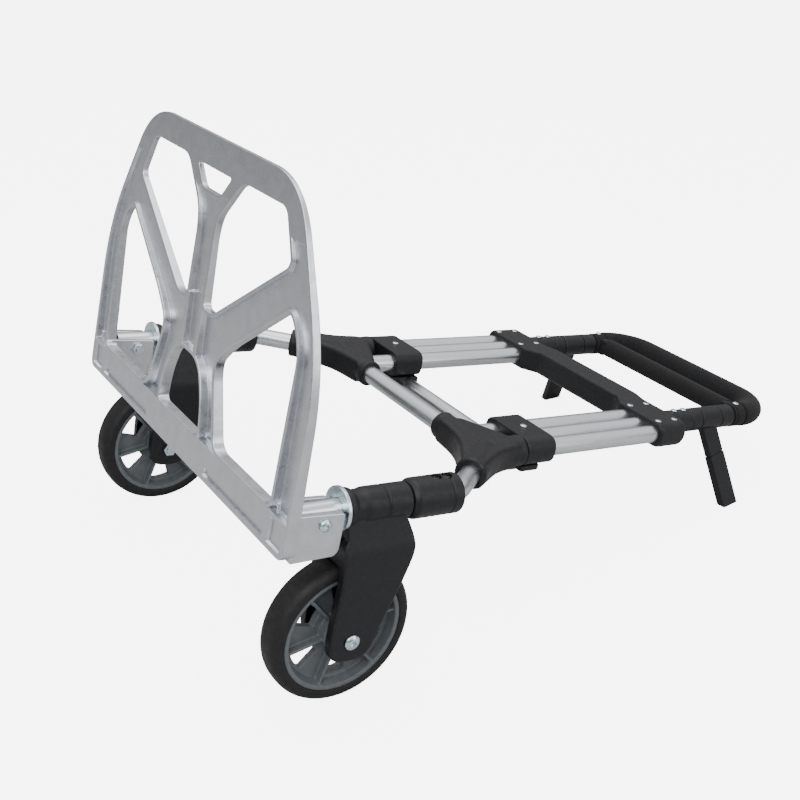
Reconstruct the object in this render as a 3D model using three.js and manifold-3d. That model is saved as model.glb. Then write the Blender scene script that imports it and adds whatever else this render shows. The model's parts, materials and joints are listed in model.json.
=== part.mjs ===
// Folding luggage cart: a cast toe plate, two folding wheel forks, a tubular frame
// and a telescoping handle with two fold-down rear legs.
//
// Millimetres, +Z up. The cart is built in its frame's own coordinates (x across,
// +x to the right, y along the rails towards the handle, z out of the plane of the
// rails) and is then tipped until both wheels and both feet stand on the floor.

import * as THREE from 'three';
import { mergeVertices } from 'three/addons/utils/BufferGeometryUtils.js';
import Module from 'manifold-3d';

const wasm = await Module();
wasm.setup();

// ---------------------------------------------------------------- driving dimensions

const GAP = 0.3;                       // clearance between pieces that touch
const FRAME_TIP = 10;                  // degrees that the rails slope down to the handle

const TUBE_RADIUS = 11;
const TUBE_WALL = 1.5;
const TUBE_SIDES = 16;
const INNER_SIDES = 8;
const BORE_RADIUS = TUBE_RADIUS + GAP;

const OUTER_RAIL_X = 161;
const MIDDLE_RAIL_X = 136;
const INNER_RAIL_X = 111;
const PIVOT_X = 230;                   // fork pivot tubes

const CROSS_TUBE_Y = 294;              // lower cross tube, between the Y joints
const INNER_RAIL_START = 306.5;         // the inner rails plug into the Y joints
const SLIDER_TUBE = { y: 370, z: -28.4, end: 128 };   // cross tube under the sliders
const SIDE_BEND = 38;
const RAIL_TOP_Y = 600;                // fixed rails end inside the crossbar

const HINGE = { y: 38.3, z: -3.4 };    // toe plate hinge axis, along x
const EAR_OUTER = { near: 243, far: 250.5 };
const EAR_INNER = { near: 211, far: 217 };

const PIVOT_TUBE_START = 17;            // the side tubes reach in between the ears
const WASHER = { start: 62, end: 66, radius: 22.5 };
const HUB = { start: 67, end: 141, radius: 18.5 };
const COLLAR = { start: 141.5, end: 201, radius: 21 };

const WHEEL = { x: 227, y: 86.4, z: -136.4, radius: 80, tyreWidth: 34, rimRadius: 66.3, rimWidth: 31 };
const WHEEL_SEGMENTS = 36;
const SPOKES = 6;
const FORK = { inner: 196, outer: 258, arm: 11, shoulder: -52 };
const AXLE_RADIUS = 5;

const SLIDER = { start: 345, end: 387, inner: 95, height: 16.5 };
const CROSSBAR = { start: 558, end: 605, midStart: 572, midEnd: 611, low: -16, high: 17 };

const SLEEVE_RADIUS = 15;
const SLEEVE_START = CROSSBAR.end + 0.5;
const LEG_HUB = { start: 666, end: 704 };
const SLEEVE_END = 727;
const RING = { start: 729, end: 749.5, radius: 15.5 };
const GRIP = { start: 750, radius: 16.5, crossY: 804, bend: 47 };
const HANDLE_BAR = { y: 748, radius: 13 };
const LEG = { foot: [183, 718, -106], width: 27, thickness: 11, seam: 0.42 };

// The toe plate is a wedge: thick at the hinge and thin at its free edge. Its ribbed
// front leans towards the rails, and the sunk floors run parallel to its plain back.
const PLATE = { front: -2, lean: 2.75, height: 299, depth: 13, tipDepth: 5, lip: 4.5, floor: 3.5 };

// ---------------------------------------------------------------- solids

// Turns a closed three.js geometry into a solid, with its faces pointing out.
function solid(geometry) {
  const bare = geometry.clone();
  bare.deleteAttribute('normal');
  bare.deleteAttribute('uv');
  const merged = mergeVertices(bare, 1e-4);
  const corners = merged.index.array;
  const kept = [];
  for (let i = 0; i < corners.length; i += 3) {
    const [a, b, c] = [corners[i], corners[i + 1], corners[i + 2]];
    if (a !== b && b !== c && c !== a) kept.push(a, b, c);
  }
  const build = (triangles) => new wasm.Manifold(new wasm.Mesh({
    numProp: 3,
    vertProperties: Float32Array.from(merged.attributes.position.array),
    triVerts: Uint32Array.from(triangles),
  }));
  const made = build(kept);
  if (made.volume() > 0) return made;
  const turned = [];
  for (let i = 0; i < kept.length; i += 3) turned.push(kept[i], kept[i + 2], kept[i + 1]);
  return build(turned);
}

function geometryOf(shape) {
  const mesh = shape.getMesh();
  const geometry = new THREE.BufferGeometry();
  geometry.setAttribute('position', new THREE.BufferAttribute(mesh.vertProperties, 3));
  geometry.setIndex(new THREE.BufferAttribute(mesh.triVerts, 1));
  geometry.computeVertexNormals();
  return geometry;
}

const join = (...shapes) => shapes.flat().reduce((sum, shape) => sum.add(shape));
const cut = (shape, ...tools) => tools.flat().reduce((left, tool) => left.subtract(tool), shape);

function box([x0, x1], [y0, y1], [z0, z1]) {
  const geometry = new THREE.BoxGeometry(x1 - x0, y1 - y0, z1 - z0);
  geometry.translate((x0 + x1) / 2, (y0 + y1) / 2, (z0 + z1) / 2);
  return solid(geometry);
}

// A round bar between two points.
function rod(from, to, radius, sides = 16) {
  const start = new THREE.Vector3(...from);
  const run = new THREE.Vector3(...to).sub(start);
  const geometry = new THREE.CylinderGeometry(radius, radius, run.length(), sides);
  const turn = new THREE.Quaternion().setFromUnitVectors(new THREE.Vector3(0, 1, 0), run.clone().normalize());
  geometry.applyQuaternion(turn);
  geometry.translate(...start.addScaledVector(run, 0.5).toArray());
  return solid(geometry);
}

const rodX = (x0, x1, y, z, radius, sides) => rod([x0, y, z], [x1, y, z], radius, sides);
const rodY = (x, y0, y1, z, radius, sides) => rod([x, y0, z], [x, y1, z], radius, sides);
const rodZ = (x, y, z0, z1, radius, sides) => rod([x, y, z0], [x, y, z1], radius, sides);

// A closed outline of [across, up, corner radius] points.
function outline(points) {
  const shape = new THREE.Shape();
  const count = points.length;
  points.forEach(([u, v, radius = 0], i) => {
    const here = new THREE.Vector2(u, v);
    const before = new THREE.Vector2(...points[(i + count - 1) % count]).sub(here);
    const after = new THREE.Vector2(...points[(i + 1) % count]).sub(here);
    const reach = Math.min(radius, before.length() * 0.48, after.length() * 0.48);
    const enter = here.clone().addScaledVector(before.normalize(), reach);
    const leave = here.clone().addScaledVector(after.normalize(), reach);
    if (i === 0) shape.moveTo(enter.x, enter.y);
    else shape.lineTo(enter.x, enter.y);
    if (reach > 0) shape.quadraticCurveTo(u, v, leave.x, leave.y);
  });
  shape.closePath();
  return shape;
}

// Moves every edge of an outline outwards by a distance, or inwards if it is negative.
function grown(points, distance) {
  const area = points.reduce((sum, [u, v], i) => {
    const [nextU, nextV] = points[(i + 1) % points.length];
    return sum + u * nextV - nextU * v;
  }, 0);
  const side = area > 0 ? 1 : -1;
  return points.map(([u, v, radius = 0], i) => {
    const [beforeU, beforeV] = points[(i + points.length - 1) % points.length];
    const [afterU, afterV] = points[(i + 1) % points.length];
    const into = new THREE.Vector2(u - beforeU, v - beforeV).normalize();
    const out = new THREE.Vector2(afterU - u, afterV - v).normalize();
    const normal = new THREE.Vector2(into.y + out.y, -into.x - out.x).multiplyScalar(side).normalize();
    const miter = distance / Math.max(0.35, normal.dot(new THREE.Vector2(into.y, -into.x).multiplyScalar(side)));
    return [u + normal.x * miter, v + normal.y * miter, Math.max(0, radius + distance)];
  });
}

const AXES = {
  x: [new THREE.Vector3(0, 1, 0), new THREE.Vector3(0, 0, 1), new THREE.Vector3(1, 0, 0)],
  y: [new THREE.Vector3(1, 0, 0), new THREE.Vector3(0, 0, 1), new THREE.Vector3(0, -1, 0)],
  z: [new THREE.Vector3(1, 0, 0), new THREE.Vector3(0, 1, 0), new THREE.Vector3(0, 0, 1)],
};

// Extrudes an outline between two places along an axis. The outline lies in (y, z)
// along x, in (x, z) along y, and in (x, y) along z.
function plate(points, axis, [low, high], bevel = 0) {
  const geometry = new THREE.ExtrudeGeometry(outline(points), {
    depth: high - low - 2 * bevel,
    curveSegments: 2,
    bevelEnabled: bevel > 0,
    bevelThickness: bevel,
    bevelSize: bevel,
    bevelOffset: -bevel,
    bevelSegments: 1,
  });
  geometry.translate(0, 0, bevel);
  geometry.applyMatrix4(new THREE.Matrix4().makeBasis(...AXES[axis]));
  const shift = axis === 'y' ? [0, high, 0] : axis === 'x' ? [low, 0, 0] : [0, 0, low];
  geometry.translate(...shift);
  return solid(geometry);
}

// Turns a closed profile of [radius, distance along] points about an axis along x or y.
function turned(profile, axis, at, segments = 20) {
  const points = profile.map(([radius, along]) => new THREE.Vector2(radius, along));
  const geometry = new THREE.LatheGeometry(points, segments);
  if (axis === 'x') geometry.rotateZ(-Math.PI / 2);
  geometry.translate(...at);
  return solid(geometry);
}

// A path through given stations, with its tangent halving each bend.
class Route extends THREE.Curve {
  constructor(stations) {
    super();
    this.stations = stations;
  }

  getPoint(t, target = new THREE.Vector3()) {
    const last = this.stations.length - 1;
    const index = Math.min(Math.floor(t * last + 1e-9), last - 1);
    return target.lerpVectors(this.stations[index], this.stations[index + 1], t * last - index);
  }

  getPointAt(u, target) {
    return this.getPoint(u, target);
  }

  getTangentAt(u, target = new THREE.Vector3()) {
    const last = this.stations.length - 1;
    const index = Math.round(u * last);
    const arriving = this.heading(Math.max(index - 1, 0));
    const leaving = this.heading(Math.min(index, last - 1));
    return target.addVectors(arriving, leaving).normalize();
  }

  heading(index) {
    return this.stations[index + 1].clone().sub(this.stations[index]).normalize();
  }
}

// Stations along a flat path of (x, y) points at z = 0, with each corner rounded.
function bentRoute(points, bend, stepDegrees = 15) {
  const flat = points.map(([x, y]) => new THREE.Vector3(x, y, 0));
  const stations = [flat[0]];
  for (let i = 1; i < flat.length - 1; i += 1) {
    const back = flat[i - 1].clone().sub(flat[i]).normalize();
    const on = flat[i + 1].clone().sub(flat[i]).normalize();
    const turn = Math.PI - back.angleTo(on);
    const reach = bend * Math.tan(turn / 2);
    const toCentre = back.clone().add(on).normalize().multiplyScalar(bend / Math.cos(turn / 2));
    const centre = flat[i].clone().add(toCentre);
    const first = flat[i].clone().addScaledVector(back, reach).sub(centre);
    const side = Math.sign(back.clone().negate().cross(on).z);
    const steps = Math.max(2, Math.round(THREE.MathUtils.radToDeg(turn) / stepDegrees));
    for (let step = 0; step <= steps; step += 1) {
      const arm = first.clone().applyAxisAngle(new THREE.Vector3(0, 0, side), (turn * step) / steps);
      stations.push(centre.clone().add(arm));
    }
  }
  stations.push(flat.at(-1));
  return new Route(stations);
}

// A round section swept along a route, hollow when an inner radius is given.
function swept(route, radius, innerRadius = 0, sides = TUBE_SIDES) {
  const section = new THREE.Shape().absarc(0, 0, radius, 0, 2 * Math.PI);
  if (innerRadius > 0) {
    const wall = new THREE.Path().absarc(0, 0, innerRadius, 0, 2 * Math.PI, true).getPoints(INNER_SIDES / 2);
    section.holes.push(new THREE.Path(wall));
  }
  return solid(new THREE.ExtrudeGeometry(section, {
    steps: route.stations.length - 1,
    curveSegments: sides / 2,
    extrudePath: route,
  }));
}

const tube = (route) => swept(route, TUBE_RADIUS, TUBE_RADIUS - TUBE_WALL);

// A pan-head screw standing on a surface at height z, its shank pointing down,
// and the pilot hole that it needs.
const SCREW = { head: 4.2, rise: 2.2, shank: 1.8, depth: 6 };
const SHORT_SHANK = 3;                 // for screws that end short of a tube

function screw(x, y, z, depth = SCREW.depth) {
  const { head, rise, shank } = SCREW;
  const profile = [[0, -depth], [shank, -depth], [shank, GAP], [head, GAP], [head * 0.6, rise], [0, rise]];
  return turned(profile, 'y', [0, 0, 0], 8).rotate([90, 0, 0]).translate([x, y, z]);
}

function screwHole(x, y, z, depth = SCREW.depth) {
  return rodZ(x, y, z - depth - GAP, z + SCREW.rise, SCREW.shank + GAP, 10);
}

// ---------------------------------------------------------------- materials

const material = (color, roughness, metalness) => new THREE.MeshStandardMaterial({ color, roughness, metalness });

const MATERIALS = {
  casting: () => material(0xc8ccd1, 0.38, 0.9),
  tube: () => material(0xc3c8cc, 0.3, 0.9),
  zinc: () => material(0xbed4dd, 0.25, 1),
  plastic: () => material(0x3a3a3c, 0.55, 0),
  foam: () => material(0x1d1d1e, 0.95, 0),
  rim: () => material(0x565c61, 0.5, 0),
  tyre: () => material(0x2a2b2c, 0.85, 0),
  steel: () => material(0x9a9da0, 0.3, 1),
};

const cart = new THREE.Group();
cart.rotation.x = THREE.MathUtils.degToRad(-FRAME_TIP);

function add(name, shape, look) {
  const mesh = new THREE.Mesh(geometryOf(shape), MATERIALS[look]());
  mesh.name = name;
  cart.add(mesh);
}

// Adds the piece made for the right side and its mirror image on the left.
function addPair(name, shape, look) {
  add(`${name}_right`, shape, look);
  add(`${name}_left`, shape.mirror([1, 0, 0]), look);
}

const bothSides = (shape) => [shape, shape.mirror([1, 0, 0])];

// ---------------------------------------------------------------- frame tubes

const sideRoute = bentRoute([
  [PIVOT_X, PIVOT_TUBE_START],
  [PIVOT_X, COLLAR.end + 6],
  [OUTER_RAIL_X, CROSS_TUBE_Y],
  [OUTER_RAIL_X, RAIL_TOP_Y],
], SIDE_BEND);

const handleRoute = bentRoute([
  [-MIDDLE_RAIL_X, SLIDER.start + 1],
  [-MIDDLE_RAIL_X, GRIP.crossY],
  [MIDDLE_RAIL_X, GRIP.crossY],
  [MIDDLE_RAIL_X, SLIDER.start + 1],
], GRIP.bend, 18);

const sideBore = swept(sideRoute, BORE_RADIUS);
const handleBore = swept(handleRoute, BORE_RADIUS);

const crossTubeEnd = OUTER_RAIL_X - TUBE_RADIUS - 1;

const HINGE_BOLT_RADIUS = 4;
const hingeBore = rodX(EAR_INNER.near - 10, EAR_OUTER.far + 10, HINGE.y, HINGE.z, HINGE_BOLT_RADIUS + GAP, 16);

addPair('side_tube', cut(tube(sideRoute), hingeBore), 'tube');
addPair('inner_rail', tube(new Route([
  new THREE.Vector3(INNER_RAIL_X, INNER_RAIL_START, 0),
  new THREE.Vector3(INNER_RAIL_X, RAIL_TOP_Y, 0),
])), 'tube');
add('cross_tube', tube(new Route([
  new THREE.Vector3(-crossTubeEnd, CROSS_TUBE_Y, 0),
  new THREE.Vector3(crossTubeEnd, CROSS_TUBE_Y, 0),
])), 'tube');

// ---------------------------------------------------------------- Y joints

// Three collars meeting where the side tube bends and the cross tube starts,
// with webs that round off the corners between them.
const Y_JOINT = { cross: 78, top: 344, low: [200, 245], crossRadius: 16.5, railRadius: 18, web: 13 };

function yJoint() {
  const { cross, top, low, crossRadius, railRadius, web } = Y_JOINT;
  const centre = [OUTER_RAIL_X, CROSS_TUBE_Y, 0];
  const arms = join(
    rod(centre, [cross, CROSS_TUBE_Y, 0], crossRadius),
    rod(centre, [OUTER_RAIL_X, top, 0], railRadius),
    rod(centre, [...low, 0], railRadius),
    solid(new THREE.SphereGeometry(railRadius, 16, 8).rotateX(Math.PI / 2).translate(...centre)),
  );
  const upperWeb = plate([
    [OUTER_RAIL_X, top - 6], [OUTER_RAIL_X, CROSS_TUBE_Y], [cross + 14, CROSS_TUBE_Y],
    [cross + 16, CROSS_TUBE_Y + crossRadius - 1], [OUTER_RAIL_X - 38, CROSS_TUBE_Y + 26, 30],
    [OUTER_RAIL_X - railRadius + 1, top - 8],
  ], 'z', [-web, web]);
  const lowerWeb = plate([
    [cross + 10, CROSS_TUBE_Y], [OUTER_RAIL_X, CROSS_TUBE_Y], [low[0] - 4, low[1] + 6],
    [low[0] - 15, low[1] - 8], [OUTER_RAIL_X - 22, CROSS_TUBE_Y - 22, 40],
    [cross + 10, CROSS_TUBE_Y - crossRadius + 1],
  ], 'z', [-web, web]);
  const outerWeb = plate([
    [OUTER_RAIL_X, top - 10], [OUTER_RAIL_X, CROSS_TUBE_Y], low, [low[0] + 14, low[1] + 8],
    [OUTER_RAIL_X + railRadius + 5, CROSS_TUBE_Y + 6, 24], [OUTER_RAIL_X + railRadius - 1, top - 12],
  ], 'z', [-web, web]);
  const bores = [
    sideBore,
    rodY(INNER_RAIL_X, INNER_RAIL_START - GAP, top, 0, BORE_RADIUS, TUBE_SIDES),
    rodX(cross - 1, crossTubeEnd + GAP, CROSS_TUBE_Y, 0, BORE_RADIUS, TUBE_SIDES),
  ];
  return cut(join(arms, upperWeb, lowerWeb, outerWeb), bores);
}

addPair('y_joint', yJoint(), 'plastic');

// ---------------------------------------------------------------- crossbar

function crossbar() {
  const { start, end, midStart, midEnd, low, high } = CROSSBAR;
  const endX = OUTER_RAIL_X + 16;
  const half = [[endX, start, 5], [endX, end, 5], [100, end, 12], [76, midEnd, 14]];
  const otherHalf = half.map(([x, y, radius]) => [-x, y, radius]).reverse();
  const plan = [[-76, midStart, 14], [76, midStart, 14], [100, start, 12], ...half, ...otherHalf, [-100, start, 12]];
  const front = [[endX, low, 16], [endX, high, 16], [-endX, high, 16], [-endX, low, 16]];
  const block = plate(plan, 'z', [low, high], 3).intersect(plate(front, 'y', [start - 1, midEnd + 1]));
  const blind = [-OUTER_RAIL_X, -INNER_RAIL_X, INNER_RAIL_X, OUTER_RAIL_X]
    .map((x) => rodY(x, start - 1, RAIL_TOP_Y + GAP, 0, BORE_RADIUS, TUBE_SIDES));
  return cut(block, blind, handleBore);
}

add('crossbar', crossbar(), 'plastic');

// ---------------------------------------------------------------- fork pivots

const collarScrewPlaces = [175, 188];

function collar() {
  const { start, end, radius } = COLLAR;
  const body = turned([
    [BORE_RADIUS, start], [radius - 3, start], [radius, start + 5], [radius, end], [BORE_RADIUS, end],
    [BORE_RADIUS, start],
  ], 'y', [PIVOT_X, 0, 0]);
  return cut(body, sideBore, collarScrewPlaces.map((y) => rodZ(PIVOT_X, y, radius - 3, radius + 3, 5.5, 10)),
    collarScrewPlaces.map((y) => screwHole(PIVOT_X, y, radius - 3)));
}

addPair('pivot_collar', collar(), 'plastic');
collarScrewPlaces.forEach((y, i) => addPair(`collar_screw_${i + 1}`, screw(PIVOT_X, y, COLLAR.radius - 3), 'steel'));

addPair('pivot_washer', turned([
  [BORE_RADIUS, WASHER.start], [WASHER.radius, WASHER.start], [WASHER.radius, WASHER.end],
  [BORE_RADIUS, WASHER.end], [BORE_RADIUS, WASHER.start],
], 'y', [PIVOT_X, 0, 0]), 'zinc');

// Plug inside the mouth of each pivot tube, which keeps the hinge bolt from crushing it.
const plugRadius = (TUBE_RADIUS - TUBE_WALL) * Math.cos(Math.PI / INNER_SIDES) - GAP;
addPair('hinge_plug', cut(
  rodY(PIVOT_X, PIVOT_TUBE_START, WASHER.end, 0, plugRadius, INNER_SIDES * 2), hingeBore,
), 'plastic');

// ---------------------------------------------------------------- toe plate

// Outlines lie in the plate's own plane: across, up. The right half is listed.
const PLATE_HALF = [[252, -37, 12], [249, 148, 60], [168, PLATE.height, 52]];
const PLATE_WINDOWS = [
  [[150, 269, 10], [64, 269, 12], [25, 226, 14], [20, 205, 10], [21, 130, 8], [42, 130, 7], [170, 219, 8],
    [173, 226, 8]],
  [[90, 3, 14], [213, 3, 10], [213, 150, 18], [202, 171, 14], [187, 184, 12], [90, 113, 22], [67, 90, 14],
    [67, 74, 10]],
];
const CENTRE_WINDOW = [[39, 267, 6], [-39, 267, 6], [-20, 245, 6], [20, 245, 6]];
const ARCH = { half: 52, foot: 0, apex: 76 };
const STEM_RIB = { inner: 14, outer: 20, low: 78, high: 136 };
const RIBBED = { low: 0, high: 246 };   // between these heights the members are channels

function mirrored(points) {
  return points.map(([u, v, radius]) => [-u, v, radius]).reverse();
}

function archOutline(extra) {
  const half = ARCH.half + extra;
  const top = ARCH.apex + extra;
  return [[half, ARCH.foot - extra, 10], [half - 5, 34, 20], [half - 24, top, 26], [24 - half, top, 26],
    [5 - half, 34, 20], [-half, ARCH.foot - extra, 10]];
}

// Ear in the (y, z) plane, rounded about the hinge so that it clears the washer.
const EAR = [[5, -40, 4], [54, -39, 5], [58.5, -33, 8], [59.5, 6, 3], [5, 9, 2]];

function toePlate() {
  const { front, lean, height, depth, tipDepth, lip, floor } = PLATE;
  const rim = [...PLATE_HALF, ...mirrored(PLATE_HALF)];
  const openings = [...PLATE_WINDOWS, ...PLATE_WINDOWS.map(mirrored), CENTRE_WINDOW, archOutline(0)];
  const taper = THREE.MathUtils.radToDeg(Math.atan((depth - tipDepth) / height));
  const behind = (offset) => box([-300, 300], [0, 60], [-400, 400]).rotate([taper, 0, 0])
    .translate([0, depth - offset, 0]);
  const channels = cut(
    plate(grown(rim, -lip), 'y', [-1, depth]),
    openings.map((points) => plate(grown(points, lip), 'y', [-2, depth + 1])),
    box([-300, 300], [-2, depth + 1], [RIBBED.high, 320]),
    box([-300, 300], [-2, depth + 1], [-60, RIBBED.low]),
    behind(floor),
  );
  const grooves = bothSides(join(
    plate([[76, -31, 3], [208, -31, 3], [208, -22, 3], [76, -22, 3]], 'y', [-1, 6]),
    plate([[218, -31, 3], [244, -31, 3], [244, -4, 3], [218, -4, 3]], 'y', [-1, 6]),
  ));
  const sheet = cut(plate(rim, 'y', [0, depth + 2]), channels, grooves, behind(0),
    openings.map((points) => plate(points, 'y', [-1, depth + 4])));
  const ribs = bothSides(box([STEM_RIB.inner, STEM_RIB.outer], [0, depth / 2], [STEM_RIB.low, STEM_RIB.high]));
  const leaning = join(sheet, ribs).rotate([-lean, 0, 0]).translate([0, front, 0]);
  const ears = bothSides(join(
    plate(EAR, 'x', [EAR_OUTER.near, EAR_OUTER.far]),
    plate(EAR, 'x', [EAR_INNER.near, EAR_INNER.far]),
  ));
  return cut(join(leaning, ears), bothSides(hingeBore));
}

add('toe_plate', toePlate(), 'casting');

// Hinge bolts through both ears and the plug, with a nut on the inner ear.
const BOLT_HEAD = { radius: 6.5, height: 4 };

// A domed bolt head facing +x at its far end, as a turned profile along x.
function boltX(tip, head, shankRadius, headRadius, headHeight) {
  return turned([
    [0, tip], [shankRadius, tip], [shankRadius, head], [headRadius, head], [headRadius, head + headHeight * 0.5],
    [headRadius * 0.6, head + headHeight], [0, head + headHeight],
  ], 'x', [0, 0, 0], 14);
}

function nutX(from, to, boreRadius, radius) {
  const nut = new THREE.CylinderGeometry(radius, radius, to - from, 6).rotateZ(-Math.PI / 2);
  nut.translate((from + to) / 2, 0, 0);
  return cut(solid(nut), rodX(from - 1, to + 1, 0, 0, boreRadius, 18));
}

const nutEnd = EAR_INNER.near - GAP;
addPair('hinge_bolt', boltX(nutEnd - 6.5, EAR_OUTER.far + GAP, HINGE_BOLT_RADIUS, BOLT_HEAD.radius,
  BOLT_HEAD.height).translate([0, HINGE.y, HINGE.z]), 'zinc');
addPair('hinge_nut', nutX(nutEnd - 5, nutEnd, HINGE_BOLT_RADIUS + GAP, 7.2)
  .translate([0, HINGE.y, HINGE.z]), 'zinc');

// ---------------------------------------------------------------- forks and wheels

const axleBore = rodX(150, 300, WHEEL.y, WHEEL.z, AXLE_RADIUS + GAP, 18);

function fork() {
  const { inner, outer, arm, shoulder } = FORK;
  const side = plate([
    [HUB.start, -6], [134, -6, 10], [147, -39, 16], [137, -76, 30], [118, -128, 30], [109, -160, 22],
    [63, -160, 22], [62, -118, 20], [66, -70, 20], [62.5, -32, 6], [HUB.start, -25],
  ], 'x', [inner, outer]);
  const front = plate([
    [PIVOT_X - 15, -4], [PIVOT_X + 15, -4], [outer - 6, -24, 8], [outer, shoulder + 12, 8], [outer, -170],
    [inner, -170], [inner, shoulder, 6],
  ], 'y', [50, 160]);
  const slotHalf = (outer - inner) / 2 - arm;
  const slot = [WHEEL.x - slotHalf, WHEEL.x + slotHalf];
  const clear = WHEEL.radius + 4;
  const wheelRoom = join(
    rodX(...slot, WHEEL.y, WHEEL.z, clear, 36),
    box(slot, [40, 180], [-200, WHEEL.z + 30]),
  );
  const hub = turned([
    [0, HUB.start], [HUB.radius + 1.5, HUB.start], [HUB.radius + 1.5, HUB.start + 7], [HUB.radius - 1.5, HUB.start + 10],
    [HUB.radius - 1.5, HUB.start + 18], [HUB.radius, HUB.start + 24], [HUB.radius, HUB.end - 2],
    [HUB.radius - 2, HUB.end], [0, HUB.end],
  ], 'y', [PIVOT_X, 0, 0]);
  const pivotBore = rodY(PIVOT_X, 40, 180, 0, BORE_RADIUS, TUBE_SIDES);
  return cut(join(cut(side.intersect(front), wheelRoom), hub), pivotBore, axleBore);
}

addPair('fork', fork(), 'plastic');

addPair('axle_bolt', boltX(FORK.inner - 7, FORK.outer + GAP, AXLE_RADIUS, 8.5, 4.5)
  .translate([0, WHEEL.y, WHEEL.z]), 'zinc');
addPair('axle_nut', nutX(FORK.inner - 5.5, FORK.inner - GAP, AXLE_RADIUS + GAP, 8.8)
  .translate([0, WHEEL.y, WHEEL.z]), 'zinc');

const RIM_HUB_RADIUS = 22;
const AXLE_SLEEVE_RADIUS = 8;

function rim() {
  const { rimRadius, rimWidth } = WHEEL;
  const half = rimWidth / 2;
  const ring = turned([
    [61, -half], [rimRadius, -half], [rimRadius, half], [61, half], [58, 4], [58, -4], [61, -half],
  ], 'x', [0, 0, 0], WHEEL_SEGMENTS);
  const hub = rodX(-half, half, 0, 0, RIM_HUB_RADIUS, 24);
  const disc = rodX(-4, 4, 0, 0, 60, WHEEL_SEGMENTS);
  const pitch = (2 * Math.PI) / SPOKES;
  const spokes = [];
  const windows = [];
  for (let i = 0; i < SPOKES; i += 1) {
    const start = i * pitch + THREE.MathUtils.degToRad(17);
    const window = new THREE.Shape();
    window.absarc(0, 0, 55, start, start + pitch * 0.5, false);
    window.absarc(0, 0, 31, start + pitch * 0.5, start, true);
    const sector = new THREE.ExtrudeGeometry(window, { depth: 20, curveSegments: 3, bevelEnabled: false });
    sector.translate(0, 0, -10).rotateY(Math.PI / 2);
    windows.push(solid(sector));
    const rib = new THREE.BoxGeometry(rimWidth - 5, 42, 3.4).translate(0, 41, 0);
    spokes.push(solid(rib.rotateX(-start + THREE.MathUtils.degToRad(3))));
  }
  const body = join(cut(disc, windows), ring, hub, spokes);
  return cut(body, rodX(-half - 1, half + 1, 0, 0, AXLE_SLEEVE_RADIUS + GAP, 20));
}

const onAxle = (shape) => shape.translate([WHEEL.x, WHEEL.y, WHEEL.z]);

addPair('wheel_rim', onAxle(rim()), 'rim');

const tyreHalf = WHEEL.tyreWidth / 2;
const tyreBore = WHEEL.rimRadius + GAP;
addPair('tyre', onAxle(turned([
  [tyreBore, -tyreHalf], [WHEEL.radius - 5, -tyreHalf], [WHEEL.radius - 1, -tyreHalf + 5],
  [WHEEL.radius, -tyreHalf + 10], [WHEEL.radius, tyreHalf - 10], [WHEEL.radius - 1, tyreHalf - 5],
  [WHEEL.radius - 5, tyreHalf], [tyreBore, tyreHalf], [tyreBore, -tyreHalf],
], 'x', [0, 0, 0], WHEEL_SEGMENTS)), 'tyre');

// Sleeve round the axle bolt, held between the fork's arms, on which the wheel turns.
const sleeveHalf = (FORK.outer - FORK.inner) / 2 - FORK.arm - GAP;
addPair('axle_sleeve', onAxle(cut(
  rodX(-sleeveHalf, sleeveHalf, 0, 0, AXLE_SLEEVE_RADIUS, 20),
  rodX(-30, 30, 0, 0, AXLE_RADIUS + GAP, 18),
)), 'steel');

// ---------------------------------------------------------------- sliding handle

add('handle_tube', tube(handleRoute), 'tube');

const SLIDER_SCREW_Y = 367;

function slider() {
  const { start, end, inner, height } = SLIDER;
  const outer = OUTER_RAIL_X + 16;
  const block = plate([
    [inner, -height, 14], [outer, -height, 16], [outer, height, 16], [inner, height, 14],
  ], 'y', [start, end], 1.5);
  const bores = [OUTER_RAIL_X, INNER_RAIL_X]
    .map((x) => rodY(x, start - 5, end + 5, 0, BORE_RADIUS, TUBE_SIDES));
  const pocket = rodY(MIDDLE_RAIL_X, start + 1 - GAP, end + 5, 0, BORE_RADIUS, TUBE_SIDES);
  return cut(block, bores, pocket, screwHole(MIDDLE_RAIL_X, SLIDER_SCREW_Y, height));
}

addPair('slider', slider(), 'plastic');
addPair('slider_screw', screw(MIDDLE_RAIL_X, SLIDER_SCREW_Y, SLIDER.height, SHORT_SHANK), 'zinc');

// Tab under each slider, with a saddle that holds the end of the cross tube.
const SLIDER_PLATE = { y: [345, 374], z: [-24, -SLIDER.height - GAP] };
const SADDLE = { inner: 98, outer: 132, start: 354, end: 386, low: -42 };

function sliderPlate() {
  const { y, z } = SLIDER_PLATE;
  const tab = plate([[100, y[0], 4], [170, y[0], 4], [170, y[1], 6], [100, y[1], 6]], 'z', z);
  const { inner, outer, start, end, low } = SADDLE;
  const saddle = plate([[start, low, 12], [end, low, 12], [end, z[1], 3], [start, z[1], 3]], 'x', [inner, outer]);
  const socket = rodX(inner - 1, SLIDER_TUBE.end + GAP, SLIDER_TUBE.y, SLIDER_TUBE.z, BORE_RADIUS, TUBE_SIDES);
  return cut(join(tab, saddle), socket);
}

addPair('slider_plate', sliderPlate(), 'plastic');
add('slider_tube', tube(new Route([
  new THREE.Vector3(-SLIDER_TUBE.end, SLIDER_TUBE.y, SLIDER_TUBE.z),
  new THREE.Vector3(SLIDER_TUBE.end, SLIDER_TUBE.y, SLIDER_TUBE.z),
])), 'tube');

// Sleeves on each handle tube, below and above the leg that swings between them.
function sleeve(start, end, radius = SLEEVE_RADIUS) {
  return turned([
    [BORE_RADIUS, start], [radius, start], [radius, end], [BORE_RADIUS, end], [BORE_RADIUS, start],
  ], 'y', [MIDDLE_RAIL_X, 0, 0]);
}

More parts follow.
